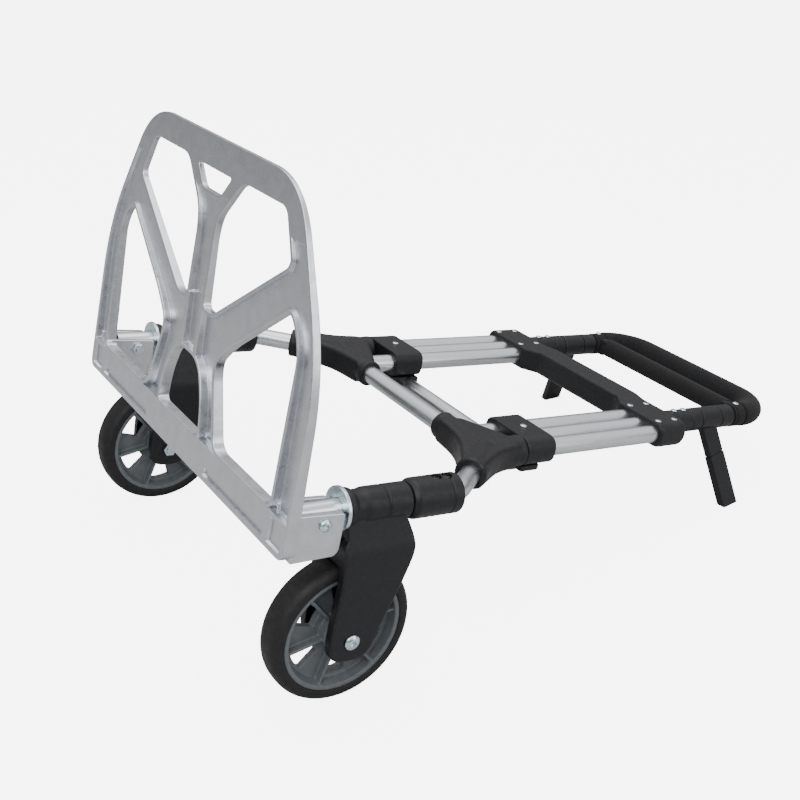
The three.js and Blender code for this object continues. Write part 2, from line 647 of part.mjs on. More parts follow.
const sleeveScrewPlaces = [620, 637];
addPair('lower_sleeve', cut(sleeve(SLEEVE_START, LEG_HUB.start - GAP),
  sleeveScrewPlaces.map((y) => screwHole(MIDDLE_RAIL_X, y, SLEEVE_RADIUS))), 'plastic');
addPair('upper_sleeve', sleeve(LEG_HUB.end + GAP, SLEEVE_END), 'plastic');

const ringScrewY = 740;
sleeveScrewPlaces.forEach((y, i) => addPair(`sleeve_screw_${i + 1}`,
  screw(MIDDLE_RAIL_X, y, SLEEVE_RADIUS, SHORT_SHANK), 'zinc'));

function handleBar() {
  const { y, radius } = HANDLE_BAR;
  const barEnd = MIDDLE_RAIL_X - GRIP.radius - 1;
  const bar = rodX(-barEnd, barEnd, y, 0, radius);
  const bridges = bothSides(plate([
    [barEnd - 6, -radius + 1, 6], [MIDDLE_RAIL_X, -radius + 1, 0], [MIDDLE_RAIL_X, radius - 1, 0],
    [barEnd - 6, radius - 1, 6],
  ], 'y', [y - radius + 1, RING.end]));
  const rings = bothSides(sleeve(RING.start, RING.end, RING.radius));
  return cut(join(bar, bridges, rings), handleBore,
    bothSides(screwHole(MIDDLE_RAIL_X, ringScrewY, RING.radius)));
}

add('handle_bar', handleBar(), 'foam');
addPair('ring_screw', screw(MIDDLE_RAIL_X, ringScrewY, RING.radius, SHORT_SHANK), 'zinc');

const gripRoute = bentRoute([
  [-MIDDLE_RAIL_X, GRIP.start],
  [-MIDDLE_RAIL_X, GRIP.crossY],
  [MIDDLE_RAIL_X, GRIP.crossY],
  [MIDDLE_RAIL_X, GRIP.start],
], GRIP.bend, 18);
add('foam_grip', cut(swept(gripRoute, GRIP.radius), handleBore), 'foam');

// ---------------------------------------------------------------- rear legs

// The leg's own axes: its length runs from the handle tube to the foot.
const legTop = new THREE.Vector3(MIDDLE_RAIL_X, (LEG_HUB.start + LEG_HUB.end) / 2, 0);
const legRun = new THREE.Vector3(...LEG.foot).sub(legTop);
const legDown = legRun.clone().normalize();
const legAcross = new THREE.Vector3(0, 1, 0).addScaledVector(legDown, -legDown.y).normalize();
const legFrame = new THREE.Matrix4()
  .makeBasis(new THREE.Vector3().crossVectors(legAcross, legDown), legAcross, legDown)
  .setPosition(legTop);

// A flat bar along the leg between two distances from the handle tube.
function legBar(from, to, width, thickness, corner = 3) {
  const [w, t] = [width / 2, thickness / 2];
  const section = outline([[-t, -w, corner], [t, -w, corner], [t, w, corner], [-t, w, corner]]);
  const bar = new THREE.ExtrudeGeometry(section, { depth: to - from, curveSegments: 3, bevelEnabled: false });
  bar.translate(0, 0, from).applyMatrix4(legFrame);
  return solid(bar);
}

const tip = THREE.MathUtils.degToRad(FRAME_TIP);
const rideHeight = WHEEL.radius + Math.sin(tip) * WHEEL.y - Math.cos(tip) * WHEEL.z;

// Everything below the floor, in the frame's own coordinates.
const belowFloor = box([-400, 400], [-900, 900], [-400, -rideHeight]).rotate([FRAME_TIP, 0, 0]);
const seamAt = legRun.length() * LEG.seam;

const legHub = turned([
  [BORE_RADIUS, LEG_HUB.start + GAP], [SLEEVE_RADIUS, LEG_HUB.start + GAP], [SLEEVE_RADIUS, LEG_HUB.end - GAP],
  [BORE_RADIUS, LEG_HUB.end - GAP], [BORE_RADIUS, LEG_HUB.start + GAP],
], 'y', [MIDDLE_RAIL_X, 0, 0]);
const tongue = { width: 17, thickness: 5, depth: 26 };

addPair('leg', cut(join(
  legHub,
  legBar(2, seamAt, LEG.width, LEG.thickness),
  legBar(seamAt - 1, seamAt + tongue.depth, tongue.width, tongue.thickness, 1),
), rodY(MIDDLE_RAIL_X, 600, 760, 0, BORE_RADIUS, TUBE_SIDES)), 'plastic');

addPair('leg_foot', cut(
  legBar(seamAt + GAP, legRun.length() + 6, LEG.width + 1.5, LEG.thickness + 1.5),
  belowFloor,
  legBar(seamAt - 2, seamAt + tongue.depth + GAP, tongue.width + 2 * GAP, tongue.thickness + 2 * GAP, 1),
), 'plastic');

// ---------------------------------------------------------------- standing on the floor

cart.position.z = rideHeight;

const group = new THREE.Group();
group.name = 'folding_cart';
group.add(cart);
group.updateMatrixWorld(true);
cart.position.y = -new THREE.Box3().setFromObject(cart, true).getCenter(new THREE.Vector3()).y;
group.updateMatrixWorld(true);

export default group;
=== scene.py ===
"""Looks of the folding luggage cart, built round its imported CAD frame.

Shapes are made in millimetres in the cart's own coordinates (x across, y along the
rails towards the handle, z out of the plane of the rails), as in the CAD, and LOCAL
places them in the row frame. Its two anchors come from the joints of the record.
"""

import json
import math

import bmesh
import bpy
import numpy as np
from mathutils import Matrix, Vector
from mathutils.geometry import delaunay_2d_cdt


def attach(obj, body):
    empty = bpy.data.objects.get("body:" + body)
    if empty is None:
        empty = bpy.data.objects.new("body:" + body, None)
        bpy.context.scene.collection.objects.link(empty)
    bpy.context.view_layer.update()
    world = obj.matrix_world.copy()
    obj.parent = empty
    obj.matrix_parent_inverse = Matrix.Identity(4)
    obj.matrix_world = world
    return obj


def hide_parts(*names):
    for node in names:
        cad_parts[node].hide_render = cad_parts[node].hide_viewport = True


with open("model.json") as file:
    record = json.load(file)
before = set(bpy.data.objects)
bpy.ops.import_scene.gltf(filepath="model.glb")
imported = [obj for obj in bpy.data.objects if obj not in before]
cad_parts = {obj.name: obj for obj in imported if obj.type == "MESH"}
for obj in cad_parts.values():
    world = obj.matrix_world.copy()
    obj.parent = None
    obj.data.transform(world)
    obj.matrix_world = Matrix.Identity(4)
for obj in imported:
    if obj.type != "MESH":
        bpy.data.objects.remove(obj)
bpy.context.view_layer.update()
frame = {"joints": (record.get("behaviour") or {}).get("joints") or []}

# ------------------------------------------------------------------ dimensions, mm

MM = 0.001
HINGE = Vector((0, 38.3, -3.4))         # toe plate hinge, in the cart's coordinates

TUBE = 11                               # outer radius of every tube
BORE = 9.5
OUTER_X, MIDDLE_X, INNER_X, PIVOT_X = 161, 136, 111, 230
CROSS_Y, INNER_START, RAIL_TOP_Y = 294, 306.5, 600
SIDE_BEND, GRIP_BEND = 38, 47
GRIP_Y = 804

HUB_START, HUB_END, HUB_RADIUS = 67, 141, 18.5
COLLAR_START, COLLAR_END, COLLAR_RADIUS = 141.5, 201, 21
WASHER_START, WASHER_END, WASHER_RADIUS = 62, 66, 22.5

WHEEL = Vector((227, 86.4, -136.4))
WHEEL_RADIUS, TYRE_HALF, RIM_RADIUS, RIM_HALF = 80, 17, 66.3, 15.5
FORK_INNER, FORK_OUTER, FORK_ARM = 196, 258, 11

SLIDER_START, SLIDER_END, SLIDER_INNER, SLIDER_HALF = 345, 387, 95, 16.5
BAR_START, BAR_END, BAR_MID_START, BAR_MID_END, BAR_LOW, BAR_HIGH = 558, 605, 572, 611, -16, 17
BAR_HALF_LENGTH = OUTER_X + 16

SLEEVE_RADIUS, LOWER_SLEEVE_START, UPPER_SLEEVE_END = 15, 606, 727
LEG_START, LEG_END = 666, 704
RING_START, RING_END, RING_RADIUS = 729, 749.5, 15.5
GRIP_RADIUS, HANDLE_BAR_Y, HANDLE_BAR_RADIUS = 16.5, 748, 13
LEG_FOOT = Vector((183, 718, -106))
LEG_WIDTH, LEG_THICKNESS, LEG_SEAM = 27, 11, 0.42

# Toe plate: a wedge with a ribbed front and a plain back.
PLATE_FRONT, PLATE_LEAN = -2, 2.75
PLATE_HEIGHT, PLATE_DEPTH, PLATE_TIP = 299, 13, 5
LIP, FLOOR = 3.9, 3.5
RIB_LOW, RIB_HIGH = 0, 246


def local_matrix():
    """Cart coordinates in mm to the row frame in metres."""
    joints = {joint["name"]: joint for joint in frame["joints"]}
    along = Vector(joints["handle_slide"]["axis"]).normalized()
    across = Vector((1, 0, 0))
    turn = Matrix((across, along, across.cross(along))).transposed()
    origin = Vector(joints["toe_plate_fold"]["pos_m"]) - turn @ (HINGE * MM)
    return Matrix.Translation(origin) @ turn.to_4x4() @ Matrix.Scale(MM, 4)


LOCAL = local_matrix()

# ------------------------------------------------------------------ outlines


def rounded(corners, steps=6):
    """A closed outline of (u, v, reach) corners as points, each corner made a curve."""
    points = []
    count = len(corners)
    for i, (u, v, reach) in enumerate(corners):
        here = Vector((u, v))
        back = Vector(corners[i - 1][:2]) - here
        on = Vector(corners[(i + 1) % count][:2]) - here
        room = max(0.02, min(reach, back.length * 0.48, on.length * 0.48))
        enter = here + back.normalized() * room
        leave = here + on.normalized() * room
        for step in range(steps + 1):
            t = step / steps
            points.append(enter * (1 - t) ** 2 + here * 2 * t * (1 - t) + leave * t * t)
    return points


def turning(corners):
    """1 for an outline that runs anticlockwise, -1 for one that runs clockwise."""
    area = 0
    for i, (u, v, _) in enumerate(corners):
        before_u, before_v, _ = corners[i - 1]
        area += before_u * v - u * before_v
    return 1 if area > 0 else -1


def grown(corners, distance):
    """Every edge of an outline moved outwards, or inwards if distance is negative."""
    side = turning(corners)
    result = []
    for i, (u, v, reach) in enumerate(corners):
        into = (Vector((u, v)) - Vector(corners[i - 1][:2])).normalized()
        on = (Vector(corners[(i + 1) % len(corners)][:2]) - Vector((u, v))).normalized()
        edge = Vector((into.y, -into.x)) * side
        normal = Vector((into.y + on.y, -into.x - on.x)).normalized() * side
        move = normal * distance / max(0.35, normal.dot(edge))
        result.append((u + move.x, v + move.y, max(0.05, reach + distance)))
    return result


def mirrored_outline(corners):
    return [(-u, v, reach) for u, v, reach in reversed(corners)]


# ------------------------------------------------------------------ mesh makers


def mesh_from(vertices, faces):
    mesh = bpy.data.meshes.new("made")
    mesh.from_pydata([tuple(v) for v in vertices], [], faces)
    return tidied(mesh)


def tidied(mesh, merge=0.0005):
    """Merges doubled corners, removes loose pieces and turns every face outwards."""
    work = bmesh.new()
    work.from_mesh(mesh)
    bmesh.ops.remove_doubles(work, verts=work.verts, dist=merge)
    loose = [edge for edge in work.edges if not edge.link_faces]
    bmesh.ops.delete(work, geom=loose, context="EDGES")
    bmesh.ops.recalc_face_normals(work, faces=work.faces)
    work.to_mesh(mesh)
    work.free()
    return mesh


def skinned(outlines, ends="capped"):
    """A skin over a row of outlines with as many points each. Its ends are capped or open,
    or joined to each other."""
    count = len(outlines[0])
    vertices = [point for outline in outlines for point in outline]
    rings = [range(i * count, (i + 1) * count) for i in range(len(outlines))]
    if ends == "joined":
        rings.append(rings[0])
    faces = []
    for lower, upper in zip(rings, rings[1:]):
        for i in range(count):
            j = (i + 1) % count
            faces.append((lower[i], lower[j], upper[j], upper[i]))
    if ends == "capped":
        faces += [tuple(rings[0]), tuple(rings[-1])]
    return mesh_from(vertices, faces)


AXES = {
    "x": lambda u, v, w: Vector((w, u, v)),
    "y": lambda u, v, w: Vector((u, w, v)),
    "z": lambda u, v, w: Vector((u, v, w)),
}


def prism(corners, axis, low, high, bevel=0.8, steps=3, corner_steps=6):
    """An outline extruded along an axis, with its two rims rounded over.
    It lies in (y, z) along x, in (x, z) along y, and in (x, y) along z."""
    place = AXES[axis]
    levels = []
    for step in range(steps + 1):
        angle = math.pi / 2 * step / steps
        levels.append((bevel * (1 - math.sin(angle)), bevel * (1 - math.cos(angle))))
    stack = [(inset, low + rise) for inset, rise in levels]
    stack += [(inset, high - rise) for inset, rise in reversed(levels)]
    outlines = []
    for inset, along in stack:
        outline = rounded(grown(corners, -inset), corner_steps)
        outlines.append([place(p.x, p.y, along) for p in outline])
    return skinned(outlines)


def turned(profile, axis, at, segments):
    """The circles that the (radius, along) points of a profile draw about an axis."""
    circles = []
    for p in profile:
        circle = []
        for i in range(segments):
            angle = 2 * math.pi * i / segments
            a, b = abs(p.x) * math.cos(angle), abs(p.x) * math.sin(angle)
            spot = {"x": (p.y, a, b), "y": (a, p.y, b), "z": (a, b, p.y)}[axis]
            circle.append(Vector(spot) + Vector(at))
        circles.append(circle)
    return circles


def lathe(corners, axis, at=(0, 0, 0), segments=64, corner_steps=3):
    """A closed profile of (radius, along, rounding) corners turned about an axis."""
    return skinned(turned(rounded(corners, corner_steps), axis, at, segments), "joined")


def disc_lathe(corners, axis, at=(0, 0, 0), segments=64, corner_steps=3):
    """Like lathe, for a solid one: its profile starts and ends on the axis."""
    inner = [(0.0, corners[0][1], 0.02)] + list(corners) + [(0.0, corners[-1][1], 0.02)]
    profile = rounded(inner, corner_steps)[corner_steps + 1:-corner_steps - 1]
    profile.insert(0, Vector((0, corners[0][1])))
    profile.append(Vector((0, corners[-1][1])))
    return skinned(turned(profile, axis, at, segments), "open")


def route(points, bend, step_degrees=5):
    """Stations along a flat path of (x, y) points, with each corner rounded."""
    flat = [Vector((x, y, 0)) for x, y in points]
    stations = [flat[0]]
    for before, here, after in zip(flat, flat[1:], flat[2:]):
        back = (before - here).normalized()
        on = (after - here).normalized()
        turn = math.pi - back.angle(on)
        centre = here + (back + on).normalized() * bend / math.cos(turn / 2)
        first = here + back * bend * math.tan(turn / 2) - centre
        side = 1 if (-back).cross(on).z > 0 else -1
        steps = max(2, round(math.degrees(turn) / step_degrees))
        for step in range(steps + 1):
            spin = Matrix.Rotation(side * turn * step / steps, 3, "Z")
            stations.append(centre + spin @ first)
    stations.append(flat[-1])
    return stations


def headings(stations):
    result = []
    for i in range(len(stations)):
        into = stations[max(i, 1)] - stations[max(i, 1) - 1]
        on = stations[min(i, len(stations) - 2) + 1] - stations[min(i, len(stations) - 2)]
        result.append((into.normalized() + on.normalized()).normalized())
    return result


def ring_points(centre, heading, radius, sides):
    side = heading.cross(Vector((0, 0, 1))).normalized()
    up = side.cross(heading).normalized()
    angles = [2 * math.pi * i / sides for i in range(sides)]
    return [centre + side * radius * math.cos(a) + up * radius * math.sin(a) for a in angles]


def swept_tube(stations, sides=48, outer=TUBE, inner=BORE, edge=0.4):
    """A hollow tube along a route, with its cut ends a little rounded."""
    aims = headings(stations)
    along = list(zip(stations, aims))
    rings = [(stations[0], aims[0], outer - edge), (stations[0] + aims[0] * edge, aims[0], outer)]
    rings += [(centre, heading, outer) for centre, heading in along[1:-1]]
    rings.append((stations[-1] - aims[-1] * edge, aims[-1], outer))
    rings.append((stations[-1], aims[-1], outer - edge))
    rings += [(centre, heading, inner) for centre, heading in reversed(along)]
    return skinned([ring_points(*ring, sides) for ring in rings], "joined")


def swept_bar(stations, radius, end_round=3.0, sides=56):
    """A solid round bar along a route with rounded ends."""
    aims = headings(stations)

    def end(centre, heading):
        rings = []
        for step in range(5):
            angle = math.pi / 2 * step / 4
            along = end_round * (1 - math.cos(angle))
            size = radius - end_round * (1 - math.sin(angle))
            rings.append((centre + heading * along, heading, size))
        return rings

    rings = end(stations[0], aims[0])
    rings += [(centre, heading, radius) for centre, heading in list(zip(stations, aims))[1:-1]]
    far = reversed(end(stations[-1], -aims[-1]))
    rings += [(centre, -heading, size) for centre, heading, size in far]
    return skinned([ring_points(*ring, sides) for ring in rings])


# ------------------------------------------------------------------ combining meshes


def object_of(mesh):
    thing = bpy.data.objects.new("work", mesh)
    bpy.context.scene.collection.objects.link(thing)
    return thing


def applied(thing, *helpers):
    """The mesh that an object's modifiers give. The objects are then removed."""
    graph = bpy.context.evaluated_depsgraph_get()
    mesh = bpy.data.meshes.new_from_object(thing.evaluated_get(graph))
    for used in (thing, *helpers):
        bpy.data.objects.remove(used)
    return mesh


def together(*meshes):
    """Several meshes in one."""
    work = bmesh.new()
    for mesh in meshes:
        work.from_mesh(mesh)
    mesh = bpy.data.meshes.new("made")
    work.to_mesh(mesh)
    work.free()
    return mesh


def carved(mesh, tool, operation="DIFFERENCE"):
    target, helper = object_of(mesh), object_of(tool)
    modifier = target.modifiers.new("carve", "BOOLEAN")
    modifier.object = helper
    modifier.operation = operation
    modifier.solver = "EXACT"
    modifier.use_self = True
    return applied(target, helper)


def softened(mesh, voxel, passes, factor=0.5):
    """Overlapping solids made one skin of small even faces, with its corners eased."""
    target = object_of(mesh)
    remesh = target.modifiers.new("skin", "REMESH")
    remesh.mode = "VOXEL"
    remesh.voxel_size = voxel
    if passes:
        smooth = target.modifiers.new("ease", "SMOOTH")
        smooth.factor = factor
        smooth.iterations = passes
    return applied(target)


def mirrored(mesh):
    """The mirror image across the middle of the cart."""
    copy = mesh.copy()
    copy.transform(Matrix.Scale(-1, 4, (1, 0, 0)))
    copy.flip_normals()
    return copy


def moved(mesh, matrix):
    copy = mesh.copy()
    copy.transform(matrix)
    return copy


# ------------------------------------------------------------------ toe plate

RIM_HALF_OUTLINE = [(252, -37, 12), (249, 148, 60), (168, PLATE_HEIGHT, 52)]
UPPER_WINDOW = [
    (150, 269, 10), (64, 269, 12), (25, 226, 14), (20, 205, 10),
    (21, 130, 8), (42, 130, 7), (170, 219, 8), (173, 226, 8),
]
LOWER_WINDOW = [
    (90, 3, 14), (213, 3, 10), (213, 150, 18), (202, 171, 14),
    (187, 184, 12), (90, 113, 22), (67, 90, 14), (67, 74, 10),
]
CENTRE_WINDOW = [(39, 267, 6), (-39, 267, 6), (-20, 245, 6), (20, 245, 6)]
ARCH = [(52, 0, 10), (47, 34, 20), (28, 76, 26), (-28, 76, 26), (-47, 34, 20), (-52, 0, 10)]
STEM_RIB = [(14, 72, 1), (19.5, 72, 1), (19.5, 136, 1), (14, 136, 1)]
LONG_GROOVE = [(76, -31, 3), (208, -31, 3), (208, -22, 3), (76, -22, 3)]
END_GROOVE = [(218, -31, 3), (244, -31, 3), (244, -4, 3), (218, -4, 3)]

EDGE_ROUND = 0.9
EDGE_STEPS = [0.0, 0.12, 0.4, 0.9]
SLOPE = 1.5                              # width of the walls of the sunk channels
SLOPE_STEPS = [-0.1, 0.2, 0.5, 1.0, 1.3, 1.6]
GROOVE_DEPTH = 3.2


def corner_points(corners, steps):
    return np.array([(p.x, p.y) for p in rounded(corners, steps)])


def beside(corners, distance, steps, gap=1.6):
    """Closely spaced points at a true distance outside an outline, or inside it."""
    points = corner_points(corners, steps)
    line = []
    for here, on in zip(points, np.roll(points, -1, axis=0)):
        run = on - here
        length = float(np.hypot(*run))
        if length < 1e-6:
            continue
        normal = np.array([run[1], -run[0]]) / length * turning(corners) * distance
        pieces = max(1, math.ceil(length / gap))
        line += [here + normal + run * k / pieces for k in range(pieces)]
    return np.array(line)


def distance_to(outline, points):
    """How far each point is from an outline, as arrays of points."""
    start = outline
    run = np.roll(outline, -1, axis=0) - start
    best = np.full(len(points), 1e9)
    for s, r in zip(start, run):
        length = max(float(r @ r), 1e-12)
        share = np.clip(((points - s) @ r) / length, 0, 1)
        best = np.minimum(best, np.hypot(*(points - s - share[:, None] * r).T))
    return best


def is_inside(outline, points):
    """Whether each point lies within an outline."""
    odd = np.zeros(len(points), bool)
    ends = np.roll(outline, -1, axis=0)
    for (u0, v0), (u1, v1) in zip(outline, ends):
        if v0 == v1:
            continue
        crosses = (v0 > points[:, 1]) != (v1 > points[:, 1])
        odd ^= crosses & (points[:, 0] < (u1 - u0) * (points[:, 1] - v0) / (v1 - v0) + u0)
    return odd


def eased(x):
    x = np.clip(x, 0, 1)
    return x * x * (3 - 2 * x)


class Relief:
    """The toe plate's front as heights over a flat sheet with windows."""

    def __init__(self):
        rim = RIM_HALF_OUTLINE + mirrored_outline(RIM_HALF_OUTLINE)
        windows = [UPPER_WINDOW, LOWER_WINDOW, mirrored_outline(UPPER_WINDOW),
                   mirrored_outline(LOWER_WINDOW), CENTRE_WINDOW, ARCH]
        grooves = [LONG_GROOVE, mirrored_outline(LONG_GROOVE), END_GROOVE, mirrored_outline(END_GROOVE)]
        ribs = [STEM_RIB, mirrored_outline(STEM_RIB)]
        self.rim_corners, self.window_corners = rim, windows
        self.groove_corners, self.rib_corners = grooves, ribs
        self.rim = corner_points(rim, 24)
        self.windows = [corner_points(w, 12) for w in windows]
        self.grooves = [corner_points(g, 6) for g in grooves]
        self.ribs = [corner_points(r, 3) for r in ribs]
        self.points = []
        self.edges = []

    def from_edge(self, points):
        """Distance to the nearest window or to the rim."""
        return np.min([distance_to(o, points) for o in [self.rim, *self.windows]], axis=0)

    def into_channel(self, points):
        """Distance into the sunk channels, negative on the raised lips."""
        depth = self.from_edge(points) - LIP
        depth = np.minimum(depth, points[:, 1] - RIB_LOW)
        depth = np.minimum(depth, RIB_HIGH - points[:, 1])
        for rib in self.ribs:
            away = distance_to(rib, points) * np.where(is_inside(rib, points), -1, 1)
            depth = np.minimum(depth, away)
        return depth

    def into_groove(self, points):
        depth = np.full(len(points), -1e9)
        for groove in self.grooves:
            within = distance_to(groove, points) * np.where(is_inside(groove, points), 1, -1)
            depth = np.maximum(depth, within)
        return depth

    def back(self, points):
        return PLATE_DEPTH - points[:, 1] * (PLATE_DEPTH - PLATE_TIP) / PLATE_HEIGHT

    def front(self, points):
        """Depth of the front surface below the crest of the ribs."""
        edge = np.clip(EDGE_ROUND - self.from_edge(points), 0, EDGE_ROUND)
        height = EDGE_ROUND - np.sqrt(EDGE_ROUND ** 2 - edge ** 2)
        floor = np.maximum(self.back(points) - FLOOR, 0.8)
        height = height + floor * eased(self.into_channel(points) / SLOPE)
        return height + GROOVE_DEPTH * eased(self.into_groove(points) / SLOPE)

    def add_line(self, line, value, wanted, closed=True):
        """Adds the points of a line where value() is as wanted, joined where they run on."""
        keep = np.abs(value(line) - wanted) < 0.06
        numbers = {}
        for i in np.flatnonzero(keep):
            numbers[int(i)] = len(self.points)
            self.points.append((float(line[i][0]), float(line[i][1])))
        last = len(line) if closed else len(line) - 1
        for i in range(last):
            j = (i + 1) % len(line)
            if i in numbers and j in numbers:
                self.edges.append((numbers[i], numbers[j]))

    def lay_lines(self):
        outlines = [(self.rim_corners, -1, 24)] + [(w, 1, 12) for w in self.window_corners]
        for corners, way, fine in outlines:
            for step in EDGE_STEPS:
                self.add_line(beside(corners, way * step, fine), self.from_edge, step)
            for step in SLOPE_STEPS:
                self.add_line(beside(corners, way * (LIP + step), fine), self.into_channel, step)
        for step in SLOPE_STEPS:
            for corners in self.rib_corners:
                self.add_line(beside(corners, step, 3), self.into_channel, step)
            for corners in self.groove_corners:
                self.add_line(beside(corners, -step, 6), self.into_groove, step)
        across = np.arange(-252, 252.1, 1.6)
        for step in SLOPE_STEPS:
            for height in (RIB_HIGH - step, RIB_LOW + step):
                row = np.column_stack([across, np.full(len(across), height)])
                self.add_line(row, self.into_channel, step, closed=False)

    def mesh(self):
        self.lay_lines()
        made = delaunay_2d_cdt([Vector(p) for p in self.points], self.edges, [], 0, 1e-4)
        flat = np.array([(p.x, p.y) for p in made[0]])
        faces = np.array([f for f in made[2]])
        middle = flat[faces].mean(axis=1)
        keep = is_inside(self.rim, middle)
        for window in self.windows:
            keep &= ~is_inside(window, middle)
        faces = faces[keep]
        edge = np.clip(EDGE_ROUND - self.from_edge(flat), 0, EDGE_ROUND)
        front = self.front(flat)
        back = self.back(flat) - (EDGE_ROUND - np.sqrt(EDGE_ROUND ** 2 - edge ** 2))
        count = len(flat)
        vertices = [(u, y, v) for (u, v), y in zip(flat, front)]
        vertices += [(u, y, v) for (u, v), y in zip(flat, back)]
        solid = [tuple(map(int, f)) for f in faces]
        solid += [tuple(int(i) + count for i in reversed(f)) for f in faces]
        sides = {}
        for a, b, c in faces:
            for pair in ((a, b), (b, c), (c, a)):
                sides.setdefault(tuple(sorted(map(int, pair))), []).append(pair)
        for (a, b), users in sides.items():
            if len(users) == 1:
                solid.append((b, a, a + count, b + count))
        used = bpy.data.meshes.new("made")
        used.from_pydata(vertices, [], solid)
        work = bmesh.new()
        work.from_mesh(used)
        bmesh.ops.delete(work, geom=[v for v in work.verts if not v.link_faces], context="VERTS")
        work.to_mesh(used)
        work.free()
        tidied(used, 0.0001)
        lean = Matrix.Rotation(math.radians(-PLATE_LEAN), 4, "X")
        used.transform(Matrix.Translation((0, PLATE_FRONT, 0)) @ lean)
        return used


EAR = [(5, -40, 4), (54, -39, 5), (58.5, -33, 8), (59.5, 6, 3), (5, 9, 2)]
OUTER_EAR = (243, 250.5)
INNER_EAR = (211, 217)


def ears():
    return together(*(prism(EAR, "x", low, high, 1.0) for low, high in (OUTER_EAR, INNER_EAR)))


# ------------------------------------------------------------------ fasteners


def cross_recess(radius, depth):
    """A tapered cross, point down, for the drive of a screw with its top at z = 0."""
    arms = []
    for u, v in ((radius, radius * 0.22), (radius * 0.22, radius)):
        corners = [(-u, -v, 0.1), (u, -v, 0.1), (u, v, 0.1), (-u, v, 0.1)]
        arms.append(prism(corners, "z", -depth, 1.0, 0.02, 1, 1))
    return arms


def screw_head(radius=4.2, rise=2.2, shank=1.8, depth=3.0):
    """A pan head with a cross recess, standing on z = 0, with its shank below."""
    head = disc_lathe([
        (shank, -depth, 0.1), (shank, 0.3, 0.1), (radius, 0.3, 0.25), (radius * 0.97, rise * 0.55, 0.7),
        (radius * 0.62, rise * 0.97, 1.2),
    ], "z", segments=40)
    top = Matrix.Translation((0, 0, rise))
    for arm in cross_recess(radius * 0.55, rise * 0.6):
        head = carved(head, moved(arm, top))
    return head


def bolt_head(start, radius, height, shank_from, shank_radius):
    """A domed head with a round socket, facing +x."""
    body = disc_lathe([
        (shank_radius, shank_from, 0.2), (shank_radius, start, 0.2), (radius, start, 0.3),
        (radius, start + height * 0.45, 1.4), (radius * 0.6, start + height, 2.0),
    ], "x", segments=56)
    socket = []
    for i in range(6):
        angle = math.pi / 3 * i
        socket.append((radius * 0.4 * math.cos(angle), radius * 0.4 * math.sin(angle), 0.1))
    return carved(body, prism(socket, "x", start + height * 0.35, start + height + 2, 0.02, 1, 1))


def nut(start, end, radius, bore):
    corners = []
    for i in range(6):
        angle = math.pi / 3 * i
        corners.append((radius * math.cos(angle), radius * math.sin(angle), 0.5))
    block = prism(corners, "x", start, end, 0.7)
    return carved(block, disc_lathe([(bore, start - 1, 0.1), (bore, end + 1, 0.1)], "x", segments=32))


# ------------------------------------------------------------------ frame pieces

PIVOT_TUBE_START = 17
SIDE_ROUTE = route([
    (PIVOT_X, PIVOT_TUBE_START), (PIVOT_X, COLLAR_END + 6), (OUTER_X, CROSS_Y), (OUTER_X, RAIL_TOP_Y),
], SIDE_BEND, 4)
INNER_ROUTE = [Vector((INNER_X, y, 0)) for y in (INNER_START, 400, 500, RAIL_TOP_Y)]
SLIDER_TUBE_Y, SLIDER_TUBE_Z, SLIDER_TUBE_END = 370, -28.4, 128
SLIDER_STATIONS = (-SLIDER_TUBE_END, -60, 60, SLIDER_TUBE_END)
SLIDER_ROUTE = [Vector((x, SLIDER_TUBE_Y, SLIDER_TUBE_Z)) for x in SLIDER_STATIONS]
HANDLE_ROUTE = route([(-MIDDLE_X, SLIDER_START + 1), (-MIDDLE_X, GRIP_Y), (MIDDLE_X, GRIP_Y),
                      (MIDDLE_X, SLIDER_START + 1)], GRIP_BEND)
CROSS_ROUTE = [Vector((x, CROSS_Y, 0)) for x in (-149, -100, 0, 100, 149)]

Y_TOP, Y_CROSS, Y_LOW = 344, 78, Vector((200, 245, 0))
Y_RAIL_RADIUS, Y_CROSS_RADIUS = 18, 16.5


def collar_bar(start, end, radius, lip=0.0):
    """A round bar between two points, with a slightly raised lip round its far end."""
    start, end = Vector(start), Vector(end)
    length = (end - start).length
    bar = disc_lathe([
        (radius - 1, 0, 2), (radius, 4, 2), (radius, length - 7, 1), (radius + lip, length - 5.5, 1),
        (radius + lip, length - 1.2, 1), (radius - 1, length, 0.8),
    ], "z", segments=64)
    turn = Vector((0, 0, 1)).rotation_difference(end - start).to_matrix().to_4x4()
    bar.transform(Matrix.Translation(start) @ turn)
    return bar


